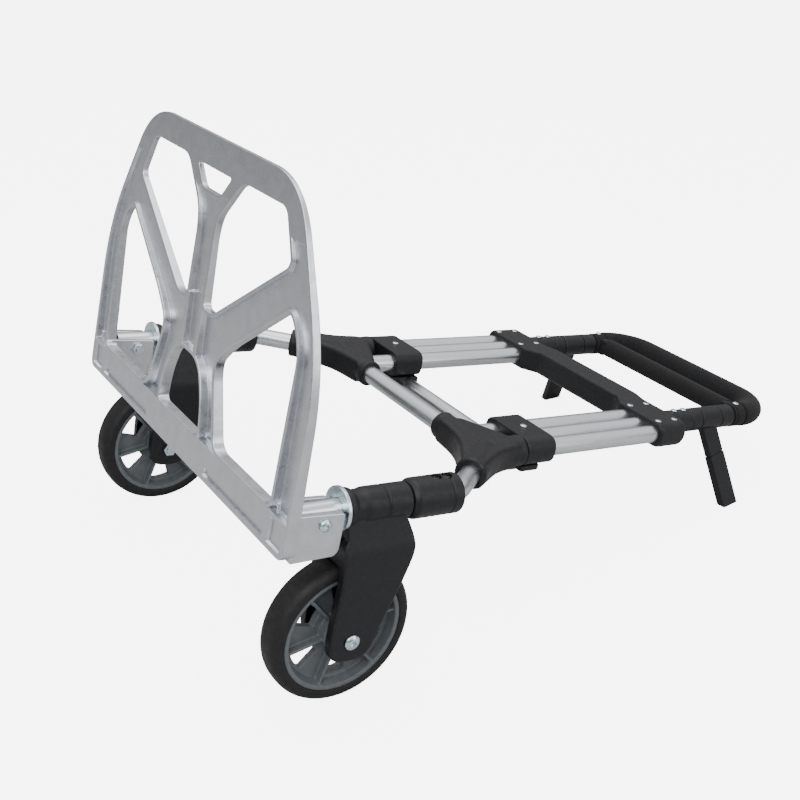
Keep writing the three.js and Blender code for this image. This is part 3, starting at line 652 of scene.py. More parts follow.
def y_joint():
    centre = (OUTER_X, CROSS_Y, 0)
    arms = [
        collar_bar(centre, (Y_CROSS, CROSS_Y, 0), Y_CROSS_RADIUS - 0.5, 0.5),
        collar_bar(centre, (OUTER_X, Y_TOP, 0), Y_RAIL_RADIUS - 0.5, 0.5),
        collar_bar(centre, Y_LOW, Y_RAIL_RADIUS - 0.5, 0.5),
        disc_lathe([(0.5, -17.4, 4), (12, -13, 6), (17.4, 0, 8), (12, 13, 6), (0.5, 17.4, 4)], "z", centre),
    ]
    webs = []
    middle = (OUTER_X, CROSS_Y, 1)
    upper = [
        (OUTER_X, Y_TOP - 8, 1), middle, (Y_CROSS + 14, CROSS_Y, 1), (Y_CROSS + 15, CROSS_Y + 14, 1),
        (OUTER_X - 40, CROSS_Y + 28, 30), (OUTER_X - 16, Y_TOP - 10, 1),
    ]
    lower = [
        (Y_CROSS + 10, CROSS_Y, 1), middle, (Y_LOW.x - 4, Y_LOW.y + 6, 1), (Y_LOW.x - 14, Y_LOW.y - 5, 1),
        (OUTER_X - 22, CROSS_Y - 22, 40), (Y_CROSS + 10, CROSS_Y - 15, 1),
    ]
    outer = [
        (OUTER_X, Y_TOP - 10, 1), middle, (Y_LOW.x, Y_LOW.y, 1), (Y_LOW.x + 12, Y_LOW.y + 7, 1),
        (OUTER_X + 22, CROSS_Y + 6, 24), (OUTER_X + 16, Y_TOP - 12, 1),
    ]
    for corners in (upper, lower, outer):
        webs.append(prism(corners, "z", -15.5, 15.5, 6, 5, 12))
    return softened(together(*arms, *webs), 1.1, 12)


def pivot_collar():
    body = lathe([
        (BORE, COLLAR_START, 0.3), (COLLAR_RADIUS - 3.4, COLLAR_START, 1),
        (COLLAR_RADIUS, COLLAR_START + 5, 2), (COLLAR_RADIUS, COLLAR_END - 14, 0.6),
        (COLLAR_RADIUS - 0.9, COLLAR_END - 13.2, 0.4),
        (COLLAR_RADIUS - 0.9, COLLAR_END - 11.8, 0.4), (COLLAR_RADIUS, COLLAR_END - 11, 0.6),
        (COLLAR_RADIUS, COLLAR_END - 1, 1.2), (COLLAR_RADIUS - 1.2, COLLAR_END, 0.8),
        (TUBE + 0.3, COLLAR_END, 0.3), (TUBE + 0.3, COLLAR_START + 3, 0.3),
    ], "y", (PIVOT_X, 0, 0), 80)
    for y in COLLAR_SCREWS:
        well = [(5.5, COLLAR_RADIUS - 3, 0.3), (5.5, COLLAR_RADIUS + 4, 0.3)]
        body = carved(body, disc_lathe(well, "z", (PIVOT_X, y, 0), 40))
    return body


COLLAR_SCREWS = (175, 188)


def crossbar():
    """A moulded beam: its section changes from the low ends to the tall middle."""
    stations = [
        (-BAR_HALF_LENGTH, 11.0), (-BAR_HALF_LENGTH + 0.5, 8.6), (-BAR_HALF_LENGTH + 1.6, 6.2),
        (-BAR_HALF_LENGTH + 3.4, 3.8), (-BAR_HALF_LENGTH + 6.0, 1.8), (-BAR_HALF_LENGTH + 9.0, 0.5),
        (-BAR_HALF_LENGTH + 12.5, 0),
    ]
    inner = [(-104, 0), (-100, 0), (-97, 0), (-79, 0), (-76, 0), (-72, 0), (0, 0)]
    half = stations + inner
    full = half + [(-x, inset) for x, inset in reversed(half[:-1])]
    outlines = []
    for x, inset in full:
        share = min(1, max(0, (100 - abs(x)) / 24))
        share = share * share * (3 - 2 * share)
        y0 = BAR_START + (BAR_MID_START - BAR_START) * share + inset * 0.35
        y1 = BAR_END + (BAR_MID_END - BAR_END) * share - inset * 0.35
        z0 = BAR_LOW + inset
        z1 = BAR_HIGH - inset
        corners = [(y0, z0, 9), (y1, z0, 9), (y1, z1, 5.5), (y0, z1, 5.5)]
        outlines.append([(x, p.x, p.y) for p in rounded(corners, 8)])
    return skinned(outlines)


BAR_SCREWS = [(x, y) for x in (OUTER_X, INNER_X) for y in (565.5, 594)]

# ------------------------------------------------------------------ forks and wheels

FORK_SIDE = [
    (HUB_START, -6, 2), (134, -6, 10), (147, -39, 16), (137, -76, 30), (118, -128, 30), (109, -160, 22),
    (63, -160, 22), (62, -118, 20), (66, -70, 20), (62.5, -32, 6), (HUB_START, -25, 2),
]
FORK_FRONT = [
    (PIVOT_X - 15, -4, 1), (PIVOT_X + 15, -4, 1), (FORK_OUTER - 6, -24, 8), (FORK_OUTER, -40, 8),
    (FORK_OUTER, -172, 1), (FORK_INNER, -172, 1), (FORK_INNER, -52, 6),
]


def fork():
    side = prism(FORK_SIDE, "x", FORK_INNER, FORK_OUTER, 2.5, 3, 10)
    front = prism(FORK_FRONT, "y", 40, 170, 0.5, 1, 6)
    arms = carved(side, front, "INTERSECT")
    slot = (FORK_INNER + FORK_ARM, FORK_OUTER - FORK_ARM)
    room = disc_lathe([(WHEEL_RADIUS + 4, slot[0], 3), (WHEEL_RADIUS + 4, slot[1], 3)], "x",
                      (0, WHEEL.y, WHEEL.z), 120)
    below = [(40, -220, 1), (180, -220, 1), (180, WHEEL.z + 30, 1), (40, WHEEL.z + 30, 1)]
    arms = carved(arms, room)
    arms = carved(arms, prism(below, "x", *slot, 1.5))
    hub = lathe([
        (TUBE - 1, HUB_START, 0.4), (HUB_RADIUS + 1.5, HUB_START, 2), (HUB_RADIUS + 1.5, HUB_START + 7, 2),
        (HUB_RADIUS - 1.5, HUB_START + 10, 1.5), (HUB_RADIUS - 1.5, HUB_START + 18, 1.5),
        (HUB_RADIUS, HUB_START + 24, 1.5), (HUB_RADIUS, 110.6, 0.6), (HUB_RADIUS - 1.2, 111.6, 0.5),
        (HUB_RADIUS - 1.2, 112.8, 0.5), (HUB_RADIUS, 113.8, 0.6), (HUB_RADIUS, HUB_END - 2, 1),
        (HUB_RADIUS - 2, HUB_END, 0.8), (TUBE - 1, HUB_END, 0.4),
    ], "y", (PIVOT_X, 0, 0), 80)
    panel = [(76, -62, 9), (126, -58, 9), (113, -118, 12), (104, -150, 14), (70, -150, 14), (70, -100, 9)]
    badge = prism(panel, "x", FORK_OUTER - 2, FORK_OUTER - 0.2, 0.6)
    boss = disc_lathe([(13, FORK_OUTER - 6, 0.5), (13, FORK_OUTER - 0.1, 0.5)], "x",
                      (0, WHEEL.y, WHEEL.z), 64)
    return softened(together(arms, hub, badge, boss), 0.75, 2, 0.5)


def tyre():
    groove = 0.7
    return lathe([
        (RIM_RADIUS + 0.2, -TYRE_HALF + 0.6, 0.5), (RIM_RADIUS + 2.5, -TYRE_HALF, 1),
        (WHEEL_RADIUS - 6, -TYRE_HALF, 3), (WHEEL_RADIUS - 1.6, -TYRE_HALF + 4.6, 3.5),
        (WHEEL_RADIUS, -TYRE_HALF + 11, 5), (WHEEL_RADIUS, TYRE_HALF - 11, 5),
        (WHEEL_RADIUS - 1.6, TYRE_HALF - 4.6, 3.5), (WHEEL_RADIUS - 6, TYRE_HALF, 3),
        (RIM_RADIUS + 2.5, TYRE_HALF, 1), (RIM_RADIUS + 0.2, TYRE_HALF - 0.6, 0.5),
        (RIM_RADIUS - groove, TYRE_HALF - 3, 0.5), (RIM_RADIUS - groove, -TYRE_HALF + 3, 0.5),
    ], "x", WHEEL, 144, 5)


SPOKES = 6
SPOKE_START = math.radians(17)


def rim():
    """A moulded wheel: lipped ring, hub, web with six windows and a rib beside each."""
    ring = lathe([
        (61, -RIM_HALF, 1), (RIM_RADIUS, -RIM_HALF, 0.8), (RIM_RADIUS, RIM_HALF, 0.8), (61, RIM_HALF, 1),
        (60.4, 11, 1), (58, 4, 2), (58, -4, 2), (60.4, -11, 1),
    ], "x", (0, 0, 0), 144, 4)
    hub = disc_lathe([
        (12, -RIM_HALF, 0.4), (20.5, -RIM_HALF, 0.6), (22, -RIM_HALF + 1.6, 0.8), (22, RIM_HALF - 1.6, 0.8),
        (20.5, RIM_HALF, 0.6), (12, RIM_HALF, 0.4),
    ], "x", (0, 0, 0), 96)
    disc = disc_lathe([(60, -4, 0.3), (60, 4, 0.3)], "x", (0, 0, 0), 144)
    parts = [ring, hub]
    pitch = 2 * math.pi / SPOKES
    for i in range(SPOKES):
        start = i * pitch + SPOKE_START
        span = pitch * 0.5
        arc = []
        for k in range(9):
            angle = start + span * k / 8
            arc.append((55 * math.cos(angle), 55 * math.sin(angle), 3 if k in (0, 8) else 0.1))
        for k in range(7):
            angle = start + span - span * k / 6
            arc.append((31 * math.cos(angle), 31 * math.sin(angle), 3 if k in (0, 6) else 0.1))
        disc = carved(disc, prism(arc, "x", -20, 20, 0.02, 1, 4))
        rib = prism([(20, -1.7, 0.8), (61, -1.7, 0.8), (61, 1.7, 0.8), (20, 1.7, 0.8)], "x",
                    -RIM_HALF + 2.6, RIM_HALF - 2.6, 0.9)
        turn = Matrix.Rotation(start - math.radians(3), 4, "X")
        parts.append(moved(rib, turn))
    body = softened(together(disc, *parts), 0.85, 2, 0.5)
    bore = disc_lathe([(8.3, -RIM_HALF - 2, 0.1), (8.3, RIM_HALF + 2, 0.1)], "x", (0, 0, 0), 48)
    body = carved(body, bore)
    body.transform(Matrix.Translation(WHEEL))
    return body


# ------------------------------------------------------------------ sliding handle


def slider():
    outer = OUTER_X + 16
    half = SLIDER_HALF
    corners = [(SLIDER_INNER, -half, 14), (outer, -half, 16), (outer, half, 16), (SLIDER_INNER, half, 14)]
    return prism(corners, "y", SLIDER_START, SLIDER_END, 2.2, 4, 12)


def slider_plate():
    """The tab under a slider, with the saddle that holds the end of the cross tube."""
    top = -SLIDER_HALF - 0.3
    flat = [(100, 345, 4), (170, 345, 4), (170, 374, 6), (100, 374, 6)]
    tab = prism(flat, "z", -24, top, 1.6, 4, 6)
    hanging = [(354, -42, 12), (386, -42, 12), (386, top, 3), (354, top, 3)]
    saddle = prism(hanging, "x", 98, 132, 1.6, 4, 10)
    socket = disc_lathe([(TUBE + 0.3, 90, 0.1), (TUBE + 0.3, SLIDER_TUBE_END + 0.3, 0.1)], "x",
                        (0, SLIDER_TUBE_Y, SLIDER_TUBE_Z), 64)
    return carved(softened(together(tab, saddle), 0.8, 3), socket)


def sleeve(start, end, radius, grooves=()):
    corners = [(TUBE + 0.3, start, 0.2), (radius - 0.8, start, 0.5), (radius, start + 0.9, 0.5)]
    for y in grooves:
        corners += [(radius, y - 1.2, 0.3), (radius - 0.9, y - 0.5, 0.3), (radius - 0.9, y + 0.5, 0.3),
                    (radius, y + 1.2, 0.3)]
    corners += [(radius, end - 0.9, 0.5), (radius - 0.8, end, 0.5), (TUBE + 0.3, end, 0.2)]
    return lathe(corners, "y", (MIDDLE_X, 0, 0), 72)


def foam_grip():
    path = route([(-MIDDLE_X, 750), (-MIDDLE_X, GRIP_Y), (MIDDLE_X, GRIP_Y), (MIDDLE_X, 750)], GRIP_BEND, 4)
    dense = []
    for a, b in zip(path, path[1:]):
        pieces = max(1, round((b - a).length / 6))
        dense += [a.lerp(b, k / pieces) for k in range(pieces)]
    dense.append(path[-1])
    return swept_bar(dense, GRIP_RADIUS - 0.15, 3.2, 64)


def handle_bar():
    """The foam bar between the handle tubes."""
    end = MIDDLE_X - GRIP_RADIUS - 1
    path = [Vector((x, HANDLE_BAR_Y, 0)) for x in np.linspace(-end, end, 40)]
    return swept_bar(path, HANDLE_BAR_RADIUS, 2.5, 56)


def handle_ring():
    ring = sleeve(RING_START, RING_END, RING_RADIUS, (RING_START + 5,))
    end = MIDDLE_X - GRIP_RADIUS - 1
    low = HANDLE_BAR_Y - HANDLE_BAR_RADIUS + 1
    neck = [(end - 6, -11.5, 6), (MIDDLE_X - 11.5, -11.5, 1), (MIDDLE_X - 11.5, 11.5, 1), (end - 6, 11.5, 6)]
    return ring, prism(neck, "y", low, RING_END - 0.2, 1.2)


# ------------------------------------------------------------------ rear legs

LEG_TOP = Vector((MIDDLE_X, (LEG_START + LEG_END) / 2, 0))
LEG_RUN = LEG_FOOT - LEG_TOP
SEAM_AT = LEG_RUN.length * LEG_SEAM


def leg_matrix():
    down = LEG_RUN.normalized()
    across = (Vector((0, 1, 0)) - down * down.y).normalized()
    turn = Matrix((across.cross(down), across, down)).transposed()
    return Matrix.Translation(LEG_TOP) @ turn.to_4x4()


def leg_bar(start, end, width, thickness, bevel=0.8, corner=3):
    w, t = width / 2, thickness / 2
    section = [(-t, -w, corner), (t, -w, corner), (t, w, corner), (-t, w, corner)]
    bar = prism(section, "z", start, end, bevel)
    bar.transform(leg_matrix())
    return bar


def leg():
    hub = sleeve(LEG_START + 0.3, LEG_END - 0.3, SLEEVE_RADIUS)
    return softened(together(hub, leg_bar(2, SEAM_AT - 0.4, LEG_WIDTH, LEG_THICKNESS)), 0.8, 3)


def leg_foot():
    bar = leg_bar(SEAM_AT + 0.4, LEG_RUN.length + 6, LEG_WIDTH + 0.8, LEG_THICKNESS + 0.8, 1.0)
    work = bmesh.new()
    work.from_mesh(bar)
    to_local = LOCAL.inverted()
    ground = to_local @ Vector((0, 0, 0))
    up = (to_local @ Vector((0, 0, 1)) - ground).normalized()
    everything = work.verts[:] + work.edges[:] + work.faces[:]
    cut = bmesh.ops.bisect_plane(work, geom=everything, plane_co=ground, plane_no=up, clear_inner=True)
    rim_edges = [g for g in cut["geom_cut"] if isinstance(g, bmesh.types.BMEdge)]
    bmesh.ops.contextual_create(work, geom=rim_edges)
    work.to_mesh(bar)
    work.free()
    return tidied(bar)


def leg_tongue():
    return leg_bar(SEAM_AT - 6, SEAM_AT + 6, 24, 9.5, 0.5, 2)


# ------------------------------------------------------------------ materials


class Look:
    """A procedural material: mottled colour, uneven roughness and a fine bump."""

    def __init__(self, name, color, metallic=0.0, roughness=0.5):
        self.material = bpy.data.materials.new(name)
        self.material.use_nodes = True
        self.tree = self.material.node_tree
        self.shader = self.tree.nodes["Principled BSDF"]
        self.shader.inputs["Metallic"].default_value = metallic
        self.shader.inputs["Base Color"].default_value = (*color, 1)
        self.shader.inputs["Roughness"].default_value = roughness
        self.place = self.tree.nodes.new("ShaderNodeTexCoord").outputs["Object"]
        self.height = None

    def noise(self, scale, detail=3.0, stretch=None):
        """Noise with cells 1 / scale metres wide, drawn out by stretch along each axis."""
        texture = self.tree.nodes.new("ShaderNodeTexNoise")
        texture.inputs["Scale"].default_value = scale
        texture.inputs["Detail"].default_value = detail
        source = self.place
        if stretch:
            mapping = self.tree.nodes.new("ShaderNodeMapping")
            mapping.vector_type = "TEXTURE"
            mapping.inputs["Rotation"].default_value = LOCAL.to_euler()
            mapping.inputs["Scale"].default_value = [1 / s for s in stretch]
            self.tree.links.new(self.place, mapping.inputs["Vector"])
            source = mapping.outputs["Vector"]
        self.tree.links.new(source, texture.inputs["Vector"])
        return texture.outputs["Fac"]

    def cells(self, scale):
        texture = self.tree.nodes.new("ShaderNodeTexVoronoi")
        texture.inputs["Scale"].default_value = scale
        self.tree.links.new(self.place, texture.inputs["Vector"])
        return texture.outputs["Distance"]

    def between(self, source, low, high, start=0.3, end=0.7):
        node = self.tree.nodes.new("ShaderNodeMapRange")
        for name, value in (("From Min", start), ("From Max", end), ("To Min", low), ("To Max", high)):
            node.inputs[name].default_value = value
        self.tree.links.new(source, node.inputs["Value"])
        return node.outputs["Result"]

    def rough(self, source, low, high):
        self.tree.links.new(self.between(source, low, high), self.shader.inputs["Roughness"])

    def color(self, source, dark, light):
        ramp = self.tree.nodes.new("ShaderNodeValToRGB")
        ramp.color_ramp.elements[0].position = 0.32
        ramp.color_ramp.elements[0].color = (*dark, 1)
        ramp.color_ramp.elements[1].position = 0.7
        ramp.color_ramp.elements[1].color = (*light, 1)
        self.tree.links.new(source, ramp.inputs["Fac"])
        self.tree.links.new(ramp.outputs["Color"], self.shader.inputs["Base Color"])

    def bump(self, source, strength, distance):
        """distance is the height of the bumps in metres."""
        node = self.tree.nodes.new("ShaderNodeBump")
        node.inputs["Strength"].default_value = strength
        node.inputs["Distance"].default_value = distance
        self.tree.links.new(source, node.inputs["Height"])
        if self.height:
            self.tree.links.new(self.height, node.inputs["Normal"])
        self.height = node.outputs["Normal"]
        self.tree.links.new(self.height, self.shader.inputs["Normal"])


def surface(name, color, metallic, roughness, mottle, rough, bump=None, specular=None, stretch=None):
    """A look from three noises, each given as its scale and detail and two more values:
    the dark and light of the mottle, the range of roughness, the strength and height of bumps."""
    look = Look(name, color, metallic, roughness)
    scale, detail, dark, light = mottle
    look.color(look.noise(scale, detail, stretch), dark, light)
    scale, detail, low, high = rough
    look.rough(look.noise(scale, detail, stretch), low, high)
    if bump:
        scale, detail, strength, height = bump
        look.bump(look.noise(scale, detail, stretch), strength, height)
    if specular:
        look.shader.inputs["Specular IOR Level"].default_value = specular
    return look


def tube_look(name, stretch):
    """Silver anodised tube with drawing lines along its length."""
    return surface(
        name, (0.60, 0.62, 0.64), 1.0, 0.3,
        (14, 4, (0.59, 0.62, 0.64), (0.62, 0.65, 0.67)), (20, 5, 0.26, 0.32), (30, 3, 0.02, 0.0001),
        stretch=stretch,
    )


def foam_look():
    """Closed-cell foam: matt black, with small open pores."""
    look = surface(
        "black_foam", (0.006, 0.006, 0.007), 0.0, 0.92,
        (420, 5, (0.004, 0.004, 0.005), (0.009, 0.009, 0.010)), (300, 3, 0.85, 0.98), specular=0.2,
    )
    look.bump(look.cells(1100), 0.35, 0.0003)
    look.bump(look.noise(500, 4), 0.25, 0.0002)
    look.shader.inputs["Sheen Weight"].default_value = 0.04
    look.shader.inputs["Sheen Roughness"].default_value = 0.6
    return look


def steel_look(name, dark, light):
    return surface(name, light, 1.0, 0.3, (80, 4, dark, light), (300, 4, 0.24, 0.38))


MADE_LOOKS = {
    # Tumbled die-cast aluminium: satin, faintly mottled, with a very fine grain.
    "casting": surface(
        "cast_aluminium", (0.58, 0.60, 0.63), 1.0, 0.32,
        (70, 6, (0.54, 0.56, 0.59), (0.61, 0.63, 0.66)), (140, 6, 0.25, 0.37), (1600, 2, 0.08, 0.0001),
    ),
    "tube": tube_look("anodised_tube", (60, 1, 60)),
    "tube_across": tube_look("anodised_cross_tube", (1, 60, 60)),
    "zinc": surface(
        "zinc_plate", (0.60, 0.70, 0.74), 1.0, 0.22,
        (160, 4, (0.52, 0.63, 0.68), (0.68, 0.76, 0.79)), (420, 4, 0.16, 0.32), (1300, 2, 0.08, 0.0001),
    ),
    # Black glass-filled nylon with a fine moulded texture and slight rub marks.
    "plastic": surface(
        "black_nylon", (0.007, 0.007, 0.0085), 0.0, 0.46,
        (240, 6, (0.0055, 0.0058, 0.007), (0.009, 0.0093, 0.011)), (180, 5, 0.40, 0.52),
        (1900, 2, 0.25, 0.0001), 0.28,
    ),
    "foam": foam_look(),
    "rim": surface(
        "grey_rim", (0.09, 0.10, 0.108), 0.0, 0.42,
        (160, 5, (0.080, 0.090, 0.098), (0.100, 0.112, 0.120)), (150, 5, 0.34, 0.5),
        (1500, 2, 0.15, 0.0001), 0.35,
    ),
    "tyre": surface(
        "tyre_rubber", (0.008, 0.008, 0.009), 0.0, 0.6,
        (190, 6, (0.006, 0.006, 0.007), (0.011, 0.011, 0.012)), (120, 5, 0.5, 0.68),
        (1100, 4, 0.25, 0.00015), 0.3,
    ),
    "steel": steel_look("plain_steel", (0.44, 0.44, 0.45), (0.55, 0.55, 0.56)),
    "steel_black": steel_look("blackened_steel", (0.03, 0.03, 0.032), (0.06, 0.06, 0.062)),
}
LOOKS = {name: look.material for name, look in MADE_LOOKS.items()}

# ------------------------------------------------------------------ placing the pieces


def piece(name, mesh, look, body, nodes=(), crease=34):
    """Places a mesh, made in cart coordinates, as a piece that rides on a body."""
    mesh.transform(LOCAL)
    work = bmesh.new()
    work.from_mesh(mesh)
    bmesh.ops.recalc_face_normals(work, faces=work.faces)
    for edge in work.edges:
        edge.smooth = edge.calc_face_angle(math.pi) < math.radians(crease)
    for face in work.faces:
        face.smooth = True
    work.to_mesh(mesh)
    work.free()
    mesh.materials.clear()
    mesh.materials.append(LOOKS[look])
    thing = bpy.data.objects.new(name, mesh)
    bpy.context.scene.collection.objects.link(thing)
    flat = thing.modifiers.new("even_shading", "WEIGHTED_NORMAL")
    flat.keep_sharp = True
    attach(thing, body)
    if nodes:
        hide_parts(*nodes)
    return thing


def pair(name, mesh, look, body, node=None, crease=34):
    """A piece on the right and its mirror image on the left. body may hold {side}."""
    for side, shape in (("left", mirrored(mesh)), ("right", mesh)):
        nodes = [f"{node}_{side}"] if node else []
        piece(f"{name}_{side}", shape, look, body.format(side=side), nodes, crease)


def build_frame():
    pair("rail", swept_tube(SIDE_ROUTE), "tube", "frame", "side_tube")
    pair("guide_rail", swept_tube(INNER_ROUTE), "tube", "frame", "inner_rail")
    piece("lower_cross_rail", swept_tube(CROSS_ROUTE), "tube_across", "frame", ["cross_tube"])
    pair("corner_joint", y_joint(), "plastic", "frame", "y_joint", 60)
    piece("beam", crossbar(), "plastic", "frame", ["crossbar"], 40)
    pair("collar", pivot_collar(), "plastic", "frame", "pivot_collar")
    washer = lathe([
        (TUBE + 0.3, WASHER_START, 0.3), (WASHER_RADIUS, WASHER_START, 0.7),
        (WASHER_RADIUS, WASHER_END, 0.7), (TUBE + 0.3, WASHER_END, 0.3),
    ], "y", (PIVOT_X, 0, 0), 96)
    pair("washer", washer, "zinc", "frame", "pivot_washer")
    plug = disc_lathe([(8.4, PIVOT_TUBE_START, 0.5), (8.4, WASHER_END, 0.5)], "y", (PIVOT_X, 0, 0), 48)
    pair("tube_plug", plug, "plastic", "frame", "hinge_plug")


def build_screws():
    head = screw_head()
    turns = (0.3, 1.1, 0.7, 1.4, 0.1, 0.9, 0.5, 1.2)

    def set_at(x, y, z, turn):
        return moved(head, Matrix.Translation((x, y, z)) @ Matrix.Rotation(turn, 4, "Z"))

    for i, y in enumerate(COLLAR_SCREWS):
        spot = set_at(PIVOT_X, y, COLLAR_RADIUS - 3, turns[i])
        pair(f"collar_fixing_{i + 1}", spot, "steel_black", "frame", f"collar_screw_{i + 1}")
    for i, (x, y) in enumerate(BAR_SCREWS):
        pair(f"beam_fixing_{i + 1}", set_at(x, y, BAR_HIGH - 1.2, turns[i + 2]), "zinc", "frame")
    for i, y in enumerate((620, 637)):
        spot = set_at(MIDDLE_X, y, SLEEVE_RADIUS, turns[i + 4])
        pair(f"sleeve_fixing_{i + 1}", spot, "zinc", "handle", f"sleeve_screw_{i + 1}")
    pair("ring_fixing", set_at(MIDDLE_X, 740, RING_RADIUS, 0.6), "zinc", "handle", "ring_screw")
    pair("slider_fixing", set_at(MIDDLE_X, 367, SLIDER_HALF, 1.0), "zinc", "handle", "slider_screw")


def build_toe_plate():
    piece("toe_panel", Relief().mesh(), "casting", "toe_plate", ["toe_plate"], 32)
    pair("hinge_ears", ears(), "casting", "toe_plate")
    at = Matrix.Translation((0, HINGE.y, HINGE.z))
    bolt = moved(bolt_head(250.8, 6.5, 4, 204.2, 4), at)
    pair("ear_bolt", bolt, "zinc", "toe_plate", "hinge_bolt")
    pair("ear_nut", moved(nut(205.7, 210.7, 7.2, 4.3), at), "zinc", "toe_plate", "hinge_nut")


def build_wheels():
    pair("wheel_fork", fork(), "plastic", "fork_{side}", "fork", 50)
    at = Matrix.Translation((0, WHEEL.y, WHEEL.z))
    bolt = moved(bolt_head(FORK_OUTER + 0.3, 8.5, 4.5, FORK_INNER - 7, 5), at)
    pair("wheel_bolt", bolt, "zinc", "fork_{side}", "axle_bolt")
    axle_nut = moved(nut(FORK_INNER - 5.5, FORK_INNER - 0.3, 8.8, 5.3), at)
    pair("wheel_nut", axle_nut, "zinc", "fork_{side}", "axle_nut")
    bush = lathe([(5.3, -19.7, 0.3), (8, -19.7, 0.4), (8, 19.7, 0.4), (5.3, 19.7, 0.3)], "x", WHEEL, 48)
    pair("wheel_bush", bush, "steel", "fork_{side}", "axle_sleeve")
    pair("tread", tyre(), "tyre", "wheel_{side}", "tyre", 40)
    pair("spoked_rim", rim(), "rim", "wheel_{side}", "wheel_rim", 50)


def build_handle():
    piece("handle_rail", swept_tube(HANDLE_ROUTE), "tube", "handle", ["handle_tube"])
    pair("slider_block", slider(), "plastic", "handle", "slider")
    cross_rail = swept_tube(SLIDER_ROUTE)
    piece("slider_cross_rail", cross_rail, "tube_across", "handle", ["slider_tube"])
    pair("slider_tab", slider_plate(), "plastic", "handle", "slider_plate")
    long_sleeve = sleeve(LOWER_SLEEVE_START, LEG_START - 0.5, SLEEVE_RADIUS, (648,))
    pair("long_sleeve", long_sleeve, "plastic", "handle", "lower_sleeve")
    short_sleeve = sleeve(LEG_END + 0.5, UPPER_SLEEVE_END, SLEEVE_RADIUS)
    pair("short_sleeve", short_sleeve, "plastic", "handle", "upper_sleeve")
    grip = piece("soft_grip", foam_grip(), "foam", "handle", ["foam_grip"], 60)
    bar = piece("soft_bar", handle_bar(), "foam", "handle", ["handle_bar"], 60)
    ring, neck = handle_ring()
    pair("bar_ring", ring, "foam", "handle")
    pair("bar_neck", neck, "foam", "handle")
    pair("rear_leg", leg(), "plastic", "leg_{side}", "leg", 50)
    pair("rear_foot", leg_foot(), "plastic", "leg_{side}", "leg_foot")
    pair("leg_joint", leg_tongue(), "plastic", "leg_{side}")


build_frame()
build_screws()
build_toe_plate()
build_wheels()
build_handle()

# ------------------------------------------------------------------ camera, light, floor


CAMERA_SPOT = Vector((1.0264, -0.7946, 0.7963))
CAMERA_AIM = Vector((-0.7440, 0.4952, -0.4486))
CAMERA_UP = Vector((-0.3869, 0.2282, 0.8934))
CAMERA_LENS = 51.42


def add_camera():
    """The photograph's viewpoint: in front of the cart, on its right, and above it."""
    camera = bpy.data.objects.new("camera", bpy.data.cameras.new("camera"))
    bpy.context.scene.collection.objects.link(camera)
    backward = -CAMERA_AIM.normalized()
    right = CAMERA_UP.cross(backward).normalized()
    up = backward.cross(right)
    turn = Matrix((right, up, backward)).transposed()
    camera.matrix_world = Matrix.Translation(CAMERA_SPOT) @ turn.to_4x4()
    camera.data.sensor_width = 36
    camera.data.lens = CAMERA_LENS
    bpy.context.scene.camera = camera


def add_softbox(name, spot, target, width, height, power):
    light = bpy.data.objects.new(name, bpy.data.lights.new(name, "AREA"))
    bpy.context.scene.collection.objects.link(light)
    light.data.shape = "RECTANGLE"
    light.data.size = width
    light.data.size_y = height
    light.data.energy = power
    aim = (Vector(target) - Vector(spot)).to_track_quat("-Z", "Y")
    light.matrix_world = Matrix.Translation(spot) @ aim.to_matrix().to_4x4()


def seen_or_lit(tree, seen, lit):
    """A value that is one number where the camera looks and another where light bounces."""
    path = tree.nodes.new("ShaderNodeLightPath")
    node = tree.nodes.new("ShaderNodeMapRange")
    node.inputs["To Min"].default_value = lit
    node.inputs["To Max"].default_value = seen
    tree.links.new(path.outputs["Is Camera Ray"], node.inputs["Value"])
    return node.outputs["Result"]


SKY_SEEN, SKY_LIT = 30, 1.2              # strength to the camera, and as light
FLOOR_SEEN = 6                           # glow of the floor to the camera alone


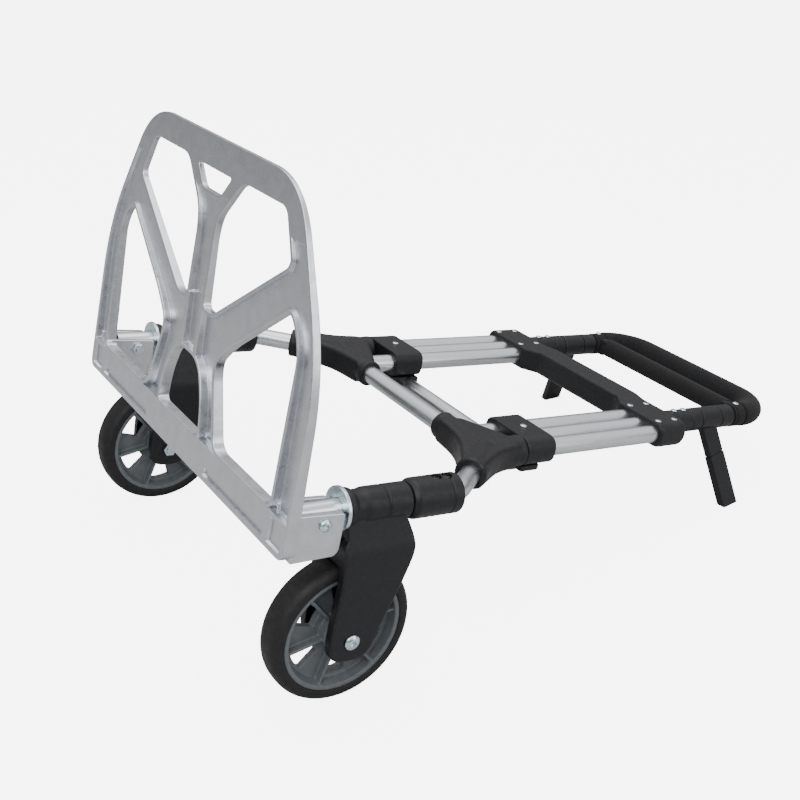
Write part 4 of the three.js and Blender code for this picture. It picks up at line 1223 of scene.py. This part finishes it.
def add_world():
    """A white studio: bright above and dark at the horizon, so that edges show in the metal."""
    world = bpy.data.worlds.new("studio")
    bpy.context.scene.world = world
    world.use_nodes = True
    tree = world.node_tree
    background = tree.nodes["Background"]
    place = tree.nodes.new("ShaderNodeTexCoord")
    split = tree.nodes.new("ShaderNodeSeparateXYZ")
    ramp = tree.nodes.new("ShaderNodeValToRGB")
    stops = ramp.color_ramp.elements
    stops[0].position = 0.0
    stops[0].color = (0.16, 0.16, 0.17, 1)
    stops[1].position = 0.45
    stops[1].color = (1, 1, 1, 1)
    horizon = stops.new(0.2)
    horizon.color = (0.2, 0.2, 0.21, 1)
    tree.links.new(place.outputs["Generated"], split.inputs["Vector"])
    tree.links.new(split.outputs["Z"], ramp.inputs["Fac"])
    tree.links.new(ramp.outputs["Color"], background.inputs["Color"])
    tree.links.new(seen_or_lit(tree, SKY_SEEN, SKY_LIT), background.inputs["Strength"])


def add_floor():
    """A plain pale sheet that glows to the camera, and only reflects light to the cart."""
    mesh = bpy.data.meshes.new("floor")
    reach = 60
    corners = [(-reach, -reach, 0), (reach, -reach, 0), (reach, reach, 0), (-reach, reach, 0)]
    mesh.from_pydata(corners, [], [(0, 1, 2, 3)])
    floor = bpy.data.objects.new("floor", mesh)
    bpy.context.scene.collection.objects.link(floor)
    look = Look("studio_floor", (0.44, 0.44, 0.44), 0.0, 0.95)
    look.color(look.noise(3, 2), (0.43, 0.43, 0.43), (0.45, 0.45, 0.45))
    look.shader.inputs["Specular IOR Level"].default_value = 0.1
    look.shader.inputs["Emission Color"].default_value = (1, 1, 1, 1)
    look.tree.links.new(seen_or_lit(look.tree, FLOOR_SEEN, 0.0), look.shader.inputs["Emission Strength"])
    mesh.materials.append(look.material)


add_camera()
add_world()
add_floor()
add_softbox("key", (1.6, -1.6, 2.2), (0, -0.1, 0.2), 1.6, 1.6, 45)
add_softbox("overhead", (-0.3, 0.2, 2.6), (0, 0, 0.1), 2.4, 2.4, 40)
add_softbox("side", (2.2, 1.2, 1.0), (0, 0, 0.2), 1.2, 1.6, 16)
